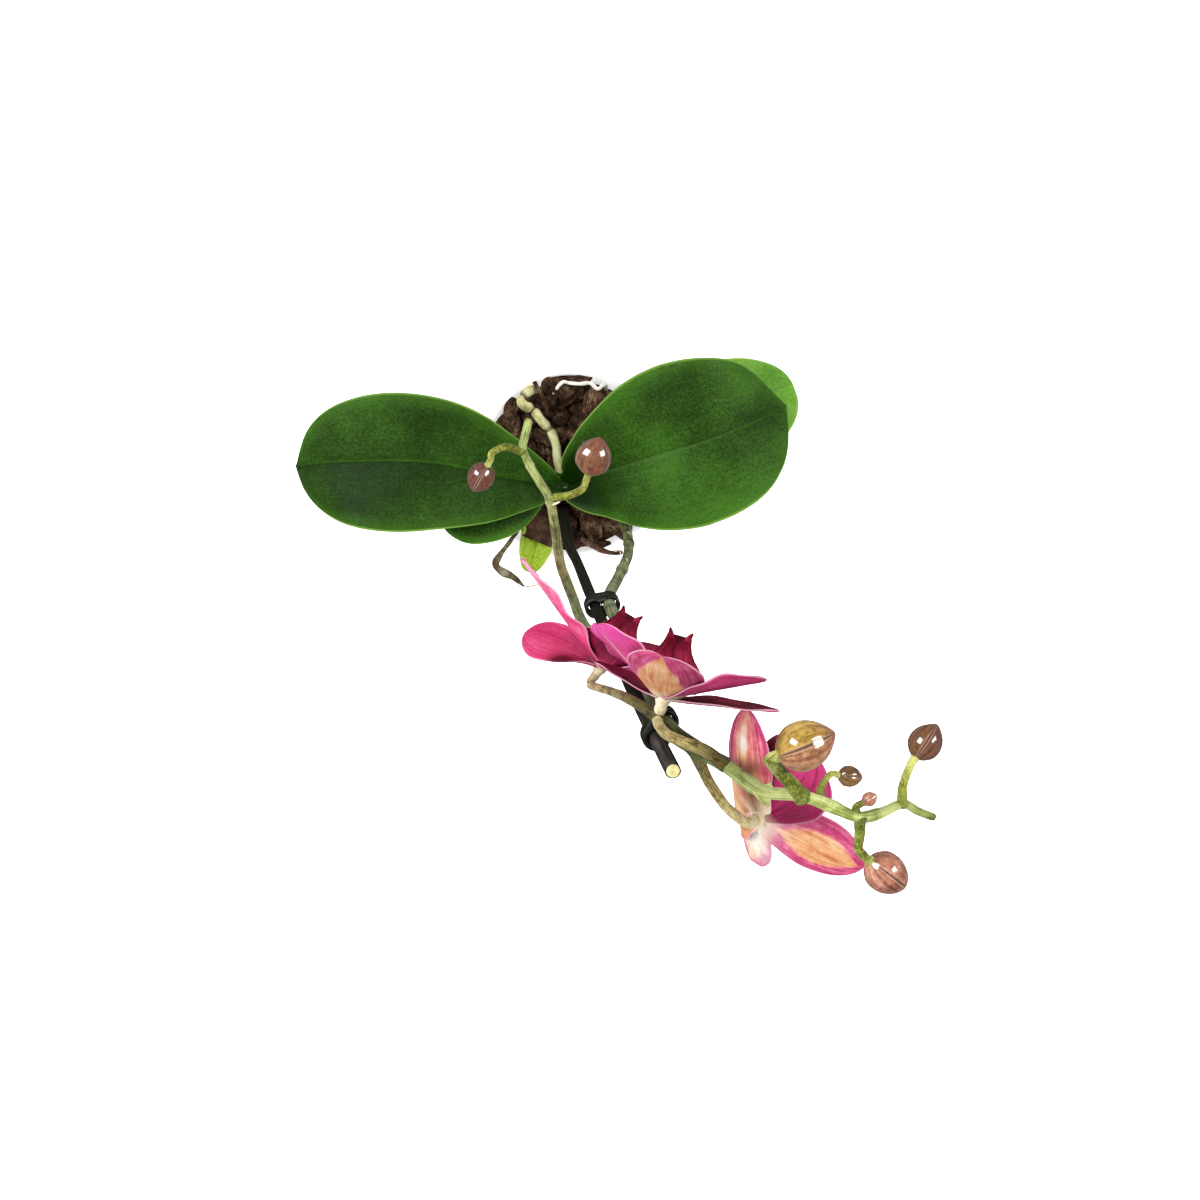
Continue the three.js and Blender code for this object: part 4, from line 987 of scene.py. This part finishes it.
def build_clip(name, paint, stake, stem, axis, height):
    """Collar with a rounded bead at each end; the bores for the stake and the stem run into each other."""
    shape = Shape()
    start, upward = vec(stake), unit(vec(axis))
    across = vec(stem) - start
    across -= upward * across.dot(upward)
    reach = np.linalg.norm(across)
    across /= reach
    aside = np.cross(upward, across)
    play = max(0.35, (reach - STAKE_RADIUS - STEM_RADIUS) / 2 + 0.1)
    stake_bore, stem_bore = STAKE_RADIUS + play, STEM_RADIUS + play
    outer = STEM_RADIUS + CLIP_PLAY + CLIP_WALL
    meet = (reach ** 2 + stake_bore ** 2 - stem_bore ** 2) / (2 * reach)
    from_stake, from_stem = math.acos(meet / stake_bore), math.acos((reach - meet) / stem_bore)
    turns = 40
    share = np.linspace(0, 1, turns, endpoint=False)
    outline = np.concatenate([
        [(outer * math.cos(a), outer * math.sin(a)) for a in math.pi * (0.5 + share)],
        [(reach + outer * math.cos(a), outer * math.sin(a)) for a in math.pi * (share - 0.5)]])
    bore = np.concatenate([
        [(stake_bore * math.cos(a), stake_bore * math.sin(a))
         for a in from_stake + 2 * (math.pi - from_stake) * share],
        [(reach + stem_bore * math.cos(a), stem_bore * math.sin(a))
         for a in math.pi + from_stem + 2 * (math.pi - from_stem) * share]])
    middle = vec((reach / 2, 0))
    half = height / 2
    bead = min(2.2, half * 0.5)
    end = [(0, -0.5), (0.35, -0.12), (0.8, 0), (bead, 0), (bead + 0.5, -0.45)]
    outside = [(depth - half, inset) for depth, inset in end]
    outside += [(half - depth, inset) for depth, inset in reversed(end)]

    def ring(flat, level):
        return start + across * flat[:, :1] + aside * flat[:, 1:] + upward * level

    rings = [ring(outline + unit(outline - middle) * inset, level) for level, inset in outside]
    rings = np.array(rings + [ring(bore, level) for level in np.linspace(half, -half, 8)])
    count, sides = rings.shape[:2]
    index = np.arange(count * sides).reshape(count, sides)
    after = np.roll(index, -1, axis=0)
    faces = np.stack([index, np.roll(index, -1, axis=1), np.roll(after, -1, axis=1), after], axis=-1)
    v = np.repeat(np.arange(count) / count, sides)
    u = np.tile(np.arange(sides) / sides, count)
    shape.add(rings.reshape(-1, 3), faces.reshape(-1, 4), 0, np.stack([u, v], axis=1))
    shape.piece(name + "_moulded", [paint], [name])


# flowers
SEPAL = dict(widest=0.52, base=0.3, roundness=0.6)
PETAL = dict(widest=0.6, base=0.16, roundness=0.5)
DORSAL_SEPAL = dict(angle=90, lean=26, length=36, width=26, outline=SEPAL, cup=0.24, bend=0.05)
LEFT_PETAL = dict(angle=18, lean=30, length=35, width=33, outline=PETAL, cup=0.12, wave=0.8)
RIGHT_PETAL = {**LEFT_PETAL, "angle": 162}
LEFT_SEPAL = dict(angle=-32, lean=8, length=38, width=18, outline=SEPAL, cup=0.12)
RIGHT_SEPAL = {**LEFT_SEPAL, "angle": -148}
BROAD_SEPAL = dict(widest=0.5, base=0.5, roundness=0.6)
# the tepals' spots are painted shadows and painted highlights, and a low tone or back_tone on a tepal that
# lies in the shade of others is partly painted shade
FLOWERS = {
    "1": dict(centre=(10, -73, 515), facing=(0.51, 0.86, 0.02), up=UP, tepals=[
        {**DORSAL_SEPAL, "length": 31, "back_tone": [0.5, 0.3, 0.2, 0.2, 0.3]},
        {**LEFT_PETAL, "lean": 24, "length": 50.5, "width": 32, "both": True,
         "tone": [0.6, 0.7, 0.8, 0.85, 0.9], "back_tone": [0.5, 0.66, 0.74, 0.8, 0.93]},
        {**RIGHT_PETAL, "bend": -0.24, "tone": 0.2},
        {**LEFT_SEPAL, "angle": -16, "twist": -52, "lean": -8, "length": 31, "width": 26,
         "outline": BROAD_SEPAL, "both": True, "tone": [0.2, 0.46, 0.62, 0.68, 0.66],
         # painted shadow cast by another tepal
         "back_tone": [0.2, 0.46, 0.62, 0.68, 0.66], "spots": [(-0.8, 0.36, 0.5, 0.14, -1.7)]},
        {**RIGHT_SEPAL, "angle": -135, "lean": 32, "bend": -0.1, "tone": 0.25, "back_tone": 0.3},
    ]),
    "2": dict(centre=(30, -77.6, 563), facing=(0.27, 0.96, 0), up=UP, tepals=[
        {**DORSAL_SEPAL, "angle": 78, "lean": 25, "tan": [0.9, 0.8, 0.66, 0.54, 0.4, 0.26, 0.12],
         "clear": 4, "skew": 0.08, "spots": [(-0.75, 0.55, 0.4, 0.4, -0.55), (0.75, 0.5, 0.35, 0.4, -0.3),
                                             (0.1, 0.45, 0.35, 0.4, -0.3)]},
        {**LEFT_PETAL, "lean": 33, "twist": 13, "tone": [0.4, 0.45, 0.5, 0.6, 0.7],
         "back_tone": [0.42, 0.46, 0.48, 0.56, 0.76],
         "spots": [(0.1, 0.5, 0.06, 0.4, 0.35), (0.6, 0.35, 0.3, 0.3, -0.4)]},
        {**RIGHT_PETAL, "lean": 28, "twist": -8, "wave": 0.2, "tone": 0.45, "back_tone": 0.45},
        {**LEFT_SEPAL, "angle": -38, "length": 30, "back_tone": 0.3},
        {**RIGHT_SEPAL, "angle": -174, "lean": 9, "length": 39.5, "tone": 0.14,
         "tan": [0.9, 0.8, 0.6, 0.3, 0, 0]},
    ]),
    "3": dict(centre=(63.8, -120, 552), facing=(0.76, 0.06, -0.64), up=(-0.15, 1, 0), tepals=[
        {**DORSAL_SEPAL, "angle": 92, "lean": -6, "length": 38, "width": 19, "outline": BROAD_SEPAL,
         "sway": 3.2, "tan": [1, 0.95, 0.85, 0.5, 0.34, 0.3, 0.1], "clear": 0.44,
         # painted highlight, the painted shadow of the stem across the sepal and painted shade below the
         # stem
         "spots": [(0.05, 0.68, 0.2, 0.14, 1.0), (0, 0.46, 0.9, 0.09, -0.8), (-0.1, 0.2, 0.8, 0.22, -0.8)]},
        {**LEFT_PETAL, "tone": 0.2, "tan": [1, 1, 1, 0.9, 0.8], "spots": [(0, 0.4, 0.8, 0.4, -0.3)]},
        {**RIGHT_PETAL, "angle": 133, "lean": 10, "length": 32, "tone": 0.2,
         "back_tone": [0.3, 0.35, 0.42, 0.45, 0.45],
         "spots": [(0.85, 0.55, 0.4, 0.5, -1.0), (-0.7, 0.35, 0.5, 0.4, -0.7)]},
        {**LEFT_SEPAL, "angle": -38, "lean": 30, "tone": 0.5, "tan": [0.9, 0.8, 0.6, 0.5, 0.4, 0.2],
         "spots": [(0, 0.35, 0.9, 0.5, 0.9)]},
        {**RIGHT_SEPAL, "angle": -144, "lean": 32, "width": 22.5, "outline": BROAD_SEPAL, "tone": 0.3,
         "tan": [-0.4, -0.05, 0.3, 0.5, 0.56, 0.5, 0.34, -0.1], "clear": 2.4, "skew": -0.1,
         "spots": [(0, 0.12, 0.9, 0.2, 0.22)]},
    ]),
}


def flower_axes(flower):
    """ahead is where the flower faces, rise is where its dorsal sepal points, aside is to its left."""
    ahead = unit(vec(flower["facing"]))
    rise = vec(flower["up"])
    rise = unit(rise - ahead * rise.dot(ahead))
    return ahead, rise, np.cross(rise, ahead)


def turned_about(vector, axis, angle):
    """A vector turned about a unit axis by an angle in radians."""
    return (vector * math.cos(angle) + np.cross(axis, vector) * math.sin(angle)
            + axis * axis.dot(vector) * (1 - math.cos(angle)))


def petal_relief(seed, depth):
    """Height over a petal: fine veins, waves toward the margin and a rib at its foot."""
    def relief(u, t):
        veins = 0.07 * np.cos(u * 40 + 3 * t) * (0.3 + 0.7 * t)
        slow = np.sin(7 * t + 4 * u + seed) * u ** 2
        quick = 0.6 * np.sin(15 * t + seed * 3) * np.abs(u) ** 3
        rib = 0.3 * np.exp(-(u / 0.07) ** 2) * (1 - t)
        return veins + depth * (slow + quick) + rib
    return relief


# materials of a flower
FACE, BACK, SEPAL_BACK, FOOT = range(4)


def add_tepal(shape, flower, seed, angle, lean, length, width, outline, twist=0, bend=0, cup=0, wave=0,
              tone=None, tan=None, back_tone=0.5, clear=1.6, skew=0, both=False, sway=0, spots=()):
    """One sepal or petal. angle is its turn about the flower, lean how far it leans ahead, and bend and sway
    bow it back and sideways, the last in millimetres. tone is how pale the face is and back_tone how pale a
    plain back is; a low one on a tepal in the shade of others is partly painted shade. both gives the back
    the colours of the face. tan is how far from the midrib a sepal's back is tan, from base to tip, clear
    how sharp the tan's edge is and skew how far it lies to one side."""
    ahead, rise, aside = flower_axes(flower)
    angle, lean, twist = (math.radians(value) for value in (angle, lean, twist))
    out = aside * math.cos(angle) + rise * math.sin(angle)
    line = out * math.cos(lean) + ahead * math.sin(lean)
    face = ahead * math.cos(lean) - out * math.sin(lean)
    turned = turned_about(face, line, twist)
    centre = vec(flower["centre"])
    across = np.cross(line, turned)
    route = [centre + line * (0.8 + t * (length - 0.8)) + turned * (bend * length * t * t)
             + across * (sway * math.sin(math.pi * t)) for t in (0, 0.35, 0.7, 1)]
    is_petal = outline is PETAL
    if tone is None:
        tone = 0.35 if is_petal else 0.2

    def patch(u, t):
        return 0.5 + (along(tan, t) - np.abs(u - skew)) * clear

    back = SEPAL_BACK if tan else FACE if both else BACK
    blade(shape, route, face, width, TEPAL_THICKNESS, face_end=turned, outline=outline, cup=cup, wave=wave,
          rows=48, columns=30 if is_petal else 22, relief=petal_relief(seed, 0.5 if is_petal else 0.3),
          edge=0.5, looks=(FACE, back), tints=(tone, patch if tan else back_tone), spots=spots)


def build_flower(number, flower, paints):
    """Five tepals round a small foot."""
    shape = Shape()
    ahead = flower_axes(flower)[0]
    centre = vec(flower["centre"])
    tube(shape, [centre - ahead * 2.2, centre, centre + ahead * 1.2], [1.9, 2.6, 2.3], sides=24, steps=10,
         dome=0.6, look=FOOT)
    for seed, one in enumerate(flower["tepals"]):
        add_tepal(shape, flower, seed * 1.7 + float(number), **one)
    shape.piece(f"flower_{number}_bloom", paints, [f"flower_{number}"])


def build_lip(number, flower, paints):
    """Trowel-shaped lip with two horns, two upright side lobes, and the column with its cap."""
    shape = Shape()
    ahead, rise, aside = flower_axes(flower)
    centre = vec(flower["centre"])

    def at(forward, up, sideways):
        return centre + ahead * forward + rise * up + aside * sideways

    def keel(u, t):
        return 0.5 * np.exp(-(u / 0.14) ** 2) * (1 - t) + 0.12 * np.cos(u * 18) * (1 - t)

    blade(shape, [at(3.4, -2, 0), at(8, -4.4, 0), at(15, -5.4, 0), at(21.5, -4.6, 0)], rise, 22,
          LIP_THICKNESS, shares=[0.2, 0.6, 0.98, 1, 0.84, 0.64, 0.5, 0.42, 0.38], fold=0.12, cup=0.02,
          rows=40, relief=keel, edge=0.6, looks=(0, 0))
    for hand in (1, -1):
        horn = [at(20.4, -4.7, 2.6 * hand), at(21.9, -4.3, 3.3 * hand), at(23.1, -3.5, 3.8 * hand)]
        tube(shape, horn, [1.1, 0.9, 0.5], sides=12, steps=12, dome=0.8)
        lobe = [at(4.4, -3, 1.4 * hand), at(6.3, -0.6, 4 * hand), at(7.4, 2.4, 5.2 * hand)]
        blade(shape, lobe, -aside * hand, 6.5, LIP_THICKNESS, outline=PETAL, cup=0.2, rows=20, columns=14,
              edge=0.5, looks=(0, 0))
        callus = [at(6.4, -3.4, 1.1 * hand), at(8.2, -3.0, 1.3 * hand)]
        tube(shape, callus, [0.7, 0.9], sides=12, steps=6, dome=0.9, look=1)
    tube(shape, [at(2.4, 0.2, 0), at(5, 0.6, 0), at(8.4, 0.2, 0)], [1.8, 1.9, 1.8], sides=20, steps=14,
         dome=0.9, look=1)
    tube(shape, [at(3.6, -0.4, 0), at(4.4, -3, 0)], [1.5, 1.3], sides=16, steps=6, look=1)
    shape.piece(f"lip_{number}_trowel", paints, [f"lip_{number}"])


def build_flowers():
    """The three flowers and their lips."""
    blush = (248, 190, 216)
    # the deepest tones are the maroon of a face in shade: painted shade
    front_tones = [(80, 6, 28), (140, 22, 56), (214, 44, 104), (236, 84, 140), (248, 168, 198)]
    back_tones = [(84, 8, 34), (148, 28, 70), (206, 66, 124), (226, 72, 164), (250, 190, 220)]
    front = petal("petal_front", front_tones, blush, (226, 100, 140), 0.1)
    back = petal("petal_back", back_tones, blush, (250, 232, 204), 0.13)
    foot = root_skin("flower_foot", (224, 190, 136), (246, 226, 184), (254, 246, 226))
    column = two_tone("column_pink", 160, 4, 0.2, (0.35, (206, 120, 160)), (0.65, (244, 216, 226)),
                      roughness=0.4, coat=0.2, through=0.1)
    paints = [front, back, sepal_back(), foot]
    lip_paints = [lip_red(), column]
    for number, flower in FLOWERS.items():
        build_flower(number, flower, paints)
        build_lip(number, flower, lip_paints)


# buds: share of the width at places along one; base, tip, width, roll, tone of each sepal, shade
BUD_PLACES = [0, 0.08, 0.24, 0.42, 0.6, 0.77, 0.91, 1]
BUD_SHARES = [0.24, 0.56, 0.9, 1, 0.95, 0.74, 0.4, 0.1]
BUDS = {
    "bud_branch_left": ((-29.4, -0.4, 526.5), (-34.9, -9.4, 521), 9.4, 28, (1, 0.7, 1), -0.88),
    "bud_branch_right": ((5.6, -3.4, 531.6), (9.6, 8.9, 537), 12.4, -30, (0.8, 0.75, 0.7), -0.72),
    "bud_big": ((62.2, -88.4, 609.4), (80, -81.8, 606.5), 15.4, 22, (0.75, 0.0, 0.75), -0.12),
    "bud_small": ((84.3, -98.3, 588), (92.3, -99.6, 586), 6.8, 20, (0.4, 0.4, 0.3), -0.6),
    "bud_tiny": ((91.5, -106.4, 592.2), (95.4, -103.4, 594), 4.6, 10, (1, 1, 1), 0.0),
    "bud_top": ((107.8, -92.2, 592), (115.2, -82, 589.5), 10.6, 16, (0.7, 0.4, 0.7), -0.84),
    "bud_low": ((96.3, -128, 580), (108.8, -138.3, 573.5), 13.4, 22, (1, 1, 1), 0.0),
}


def build_bud(name, paint, base, tip, width, roll, tones, shade):
    """Closed bud: three sepals meet in fine seams, and it runs to a blunt point."""
    rows, sides = 44, 54
    start, end = vec(base), vec(tip)
    axis = unit(end - start)
    side = unit(np.cross(axis, UP))
    other = np.cross(axis, side)
    place = (1 - np.cos(np.linspace(0, np.pi, rows))) / 2
    line = Route([(p, s, 0) for p, s in zip(BUD_PLACES, BUD_SHARES)]).line
    share = np.interp(place, line[:, 0], line[:, 1])
    share[-1], share[0] = 0.06, 0.2
    angle = circle(sides)
    seam = np.abs((angle / (2 * np.pi) * 3 + 0.5) % 1 - 0.5)
    dent = 0.075 * np.exp(-(seam / 0.05) ** 2) - 0.03 * np.cos(3 * angle)
    radius = width / 2 * share[:, None] * (1 - dent[None] * np.sin(np.pi * place)[:, None] ** 0.5)
    middle = start + (end - start) * place[:, None]
    turned = angle + math.radians(roll)
    rings = (middle[:, None] + side * (np.cos(turned) * radius)[..., None]
             + other * (np.sin(turned) * radius)[..., None])
    sectors = np.array(tones, float)[np.minimum(angle / (2 * np.pi) * 3, 2).astype(int)]
    shape = Shape()
    loft(shape, rings, tint=np.concatenate([np.tile(sectors, rows), [tones[0], tones[1]]]), shade=shade)
    shape.piece(name + "_closed", [paint], [name])


# spike and stalks
def stalk_end(name):
    """The last two places of a stalk, inside its flower or its bud."""
    if name in FLOWERS:
        ahead = flower_axes(FLOWERS[name])[0]
        return [tuple(vec(FLOWERS[name]["centre"]) - ahead * back) for back in (7, 2.6)]
    base, tip = BUDS[name][:2]
    axis = unit(vec(tip) - vec(base))
    return [tuple(vec(base) - axis * back) for back in (2.6, -0.4)]


# materials of the spike
GREEN, OLIVE, LIME, DRY, BRANCH, PALE, BROWN = range(7)
# stalks: flower or bud, route up to it, radii, material
STALKS = [
    ("1", [(31.4, -86.6, 563), (25, -81.6, 560.5), (17.8, -79.3, 545), (12, -79.5, 526)],
     [2, 1.8, 1.6, 1.5], BROWN),
    ("2", [(48.2, -94.8, 588), (41.2, -89.6, 591), (34.4, -87.4, 588), (29.8, -86.2, 578)],
     [2.3, 1.9, 1.8, 1.8], OLIVE),
    ("3", [(38.5, -90.6, 577), (41.5, -97, 570.5), (45.5, -105.5, 563), (51.8, -114.8, 559)],
     [2.4, 1.9, 1.8, 1.8], OLIVE),
    ("bud_branch_left", [(-16.8, 4, 528), (-22.8, 5.9, 530), (-27.6, 3.9, 529.3)], [1.5, 1.2, 1.1], LIME),
    ("bud_branch_right", [(-8, -12, 525), (-0.7, -10.8, 526.5), (3.6, -8.6, 529)], [1.5, 1.3, 1.2], LIME),
    ("bud_big", [(72, -104, 594.5), (67.5, -98.4, 599.5), (62.6, -93, 604)], [2.6, 2.1, 1.7], LIME),
    ("bud_small", [(78, -106, 593.5), (78.6, -101.8, 590)], [1.6, 1.1, 1], LIME),
    ("bud_tiny", [(90, -110.5, 590)], [1.4, 1.1], LIME),
    ("bud_top", [(105.6, -108.5, 584), (104.6, -101.5, 589.5)], [1.8, 1.4, 1.3], LIME),
    ("bud_low", [(91, -111.5, 590), (91.6, -118, 586.5), (91.8, -123, 583.5)], [2, 1.6, 1.5], LIME),
]


def build_spike():
    """Flower stem, its branch and its stalks, swollen at their nodes, with bracts and a pale node."""
    green = stem_skin(
        "stem_green_skin",
        (0.0, (38, 46, 20), (128, 138, 84)), (0.45, (56, 64, 28), (148, 158, 104)),
        # from 0.7 to 0.846 the stem is darker, painted shade under the flowers; the pale band at 0.925 is a
        # painted highlight
        (0.7, (44, 48, 24), (98, 104, 60)), (0.8, (34, 38, 14), (84, 90, 42)),
        (0.846, (38, 48, 18), (92, 108, 54)), (0.866, (80, 94, 40), (152, 162, 94)),
        (0.925, (144, 162, 68), (246, 250, 172)), (1.0, (44, 60, 10), (130, 146, 60)),
    )
    branch = stem_skin(
        "branch_green_skin",
        (0.0, (60, 66, 36), (122, 130, 82)), (0.5, (78, 86, 44), (150, 158, 104)),
        (0.8, (84, 94, 42), (184, 190, 124)), (1.0, (110, 132, 52), (196, 210, 130)),
    )
    # the olive and the brown stalks are darkest at their first stop, where they meet the stem: painted shade
    olive = stem_skin(
        "stalk_olive_skin",
        (0.0, (28, 22, 8), (66, 56, 26)), (0.14, (48, 40, 16), (112, 98, 52)),
        (0.36, (100, 84, 38), (192, 176, 112)), (0.7, (140, 120, 62), (228, 210, 152)),
        (1.0, (232, 212, 150), (254, 246, 212)),
    )
    brown = stem_skin(
        "stalk_brown_skin",
        (0.0, (30, 34, 16), (80, 86, 48)), (0.35, (50, 44, 20), (128, 116, 66)),
        (0.7, (94, 76, 42), (186, 162, 110)), (0.9, (166, 142, 96), (238, 220, 174)),
        (1.0, (204, 184, 134), (252, 242, 208)),
    )
    lime = stem_skin(
        "stalk_lime_skin",
        (0.0, (58, 68, 20), (128, 142, 60)), (0.45, (90, 98, 26), (180, 186, 78)),
        (0.85, (96, 102, 28), (216, 220, 124)), (1.0, (116, 120, 44), (232, 232, 160)),
    )
    dry = root_skin("dry_bract", (146, 146, 84), (202, 206, 138), (238, 240, 194))
    pale = root_skin("pale_node", (190, 192, 138), (226, 228, 182), (248, 248, 220))
    shape = Shape()

    def swollen(places, size=0.22, spread=0.006):
        """Bumps of a stem that swells at some places along it."""
        def bumps(t, angle):
            total = 0.02 * np.sin(5 * angle + 30 * t)
            for place in places:
                total = total + size * np.exp(-((t - place) / spread) ** 2)
            return total
        return bumps

    tube(shape, SPIKE_ROUTE, SPIKE_RADII, sides=26, steps=420, dome=0.6, look=GREEN,
         bumps=swollen((0.13, 0.265, 0.61, 0.885, 0.93, 0.957)))
    tube(shape, BRANCH_ROUTE, BRANCH_RADII, sides=22, steps=180, dome=0.9, look=BRANCH,
         bumps=swollen((0.02, 0.81, 0.9)))
    for name, route, radii, look in STALKS:
        tube(shape, route + stalk_end(name), radii, sides=18, steps=48, dome=0.5, look=look,
             bumps=swollen((0.0, 1.0), 0.18, 0.05))
    for root, point in BRACTS:
        start, end = vec(root), vec(point)
        out = unit(end - start)
        face = unit(np.cross(out, np.cross(out, UP)) + 0.001)
        blade(shape, [start - out * 2, (start + end) / 2, end], face, 6.4, 0.8,
              shares=[0.9, 1, 0.8, 0.5, 0.05], cup=-0.5, rows=16, columns=12, looks=(DRY, DRY))
    tube(shape, PALE_NODE_ROUTE, [0.3, 0.5, 0.3], sides=14, steps=12, dome=0.8, look=PALE)
    shape.piece("spike_grown", [green, olive, lime, dry, branch, pale, brown], ["spike"])


# stage, light and camera
FLOOR_REACH = 30
FLOOR_GLOW = 0.7
WORLD_STRENGTH = 0.16
# suns: direction, strength, width in degrees
SUNS = {"soft_ceiling": ((0.1, 0.1, -1), 1.75, 110), "soft_key": ((0.35, 0.95, -1), 2.25, 35)}
# windows: place, two sides in metres, power in watts
WINDOWS = {
    "window_left": ((-1.1, 0.7, 1.5), (0.85, 1.3), 37),
    "window_right": ((1.2, 0.4, 1.4), (0.6, 1), 20),
}
WINDOW_AIM = (0.05, -0.08, 0.5)
# the photograph's camera: height in metres, side of the square picture and focal length in pixels, and the
# pixel that the pot's axis meets
CAMERA_HEIGHT, FRAME_PIXELS, FOCAL_PIXELS, AXIS_PIXEL = 1.1, 1200, 1639, (572, 464)


def build_stage():
    """Pale floor that glows a little, like a light table, which keeps its shadows faint."""
    paint = Paint("pale_floor", roughness=0.9, specular=0.1)
    paint.colour(paint.ramp(paint.noise(paint.point, 3), (0.3, 0.92), (0.7, 0.95)))
    paint.glow(FLOOR_GLOW)
    mesh = bpy.data.meshes.new("floor")
    corners = [(FLOOR_REACH * x, FLOOR_REACH * y, 0) for x, y in ((-1, -1), (1, -1), (1, 1), (-1, 1))]
    mesh.from_pydata(corners, [], [(0, 1, 2, 3)])
    mesh.materials.append(paint.material)
    floor = bpy.data.objects.new("floor", mesh)
    bpy.context.scene.collection.objects.link(floor)
    floor.visible_glossy = False


def add_lamp(name, kind, energy, toward):
    """A light that shines along a direction, and its settings."""
    light = bpy.data.lights.new(name, kind)
    light.energy = energy
    lamp = bpy.data.objects.new(name, light)
    lamp.rotation_euler = Vector(toward).to_track_quat("-Z", "Y").to_euler()
    bpy.context.scene.collection.objects.link(lamp)
    return lamp, light


def build_light():
    """Two broad suns that leave no mirror image in the glossy surfaces, and two soft windows that do."""
    world = bpy.data.worlds.new("studio")
    world.use_nodes = True
    background = world.node_tree.nodes["Background"]
    background.inputs["Color"].default_value = (1, 1, 1, 1)
    background.inputs["Strength"].default_value = WORLD_STRENGTH
    bpy.context.scene.world = world
    bpy.context.scene.view_settings.view_transform = "Standard"
    for name, (toward, energy, width) in SUNS.items():
        lamp, light = add_lamp(name, "SUN", energy, toward)
        light.angle = math.radians(width)
        lamp.visible_glossy = False
    for name, (place, size, power) in WINDOWS.items():
        lamp, light = add_lamp(name, "AREA", power, Vector(WINDOW_AIM) - Vector(place))
        light.shape = "RECTANGLE"
        light.size, light.size_y = size
        lamp.location = place


def build_camera():
    """Straight above the pot, turned so that the pot's axis meets its own pixel."""
    across, down = (value - FRAME_PIXELS / 2 for value in AXIS_PIXEL)
    back = -Vector((across, -down, -FOCAL_PIXELS)).normalized()
    right = (Vector((1, 0, 0)) - back * back.x).normalized()
    world_from_axis = Matrix((right, back.cross(right), back))
    camera_data = bpy.data.cameras.new("camera")
    camera_data.sensor_width = 36
    camera_data.lens = camera_data.sensor_width * FOCAL_PIXELS / FRAME_PIXELS
    camera_data.clip_start = 0.01
    camera = bpy.data.objects.new("camera", camera_data)
    camera.matrix_world = Matrix.Translation((0, 0, CAMERA_HEIGHT)) @ world_from_axis.to_4x4()
    bpy.context.scene.collection.objects.link(camera)
    bpy.context.scene.camera = camera


build_camera()
build_light()
build_stage()
build_pot()
build_bark()
build_leaves()
build_roots()
build_stake()
plastic = two_tone("black_plastic", 400, 5, 0.12, (0.3, (8, 9, 5)), (0.7, (34, 34, 27)), roughness=0.4,
                   specular=0.3)
for clip_name, clip in CLIPS.items():
    build_clip(clip_name, plastic, *clip)
build_flowers()
skin = bud_skin()
for bud_name, bud in BUDS.items():
    build_bud(bud_name, skin, *bud)
build_spike()
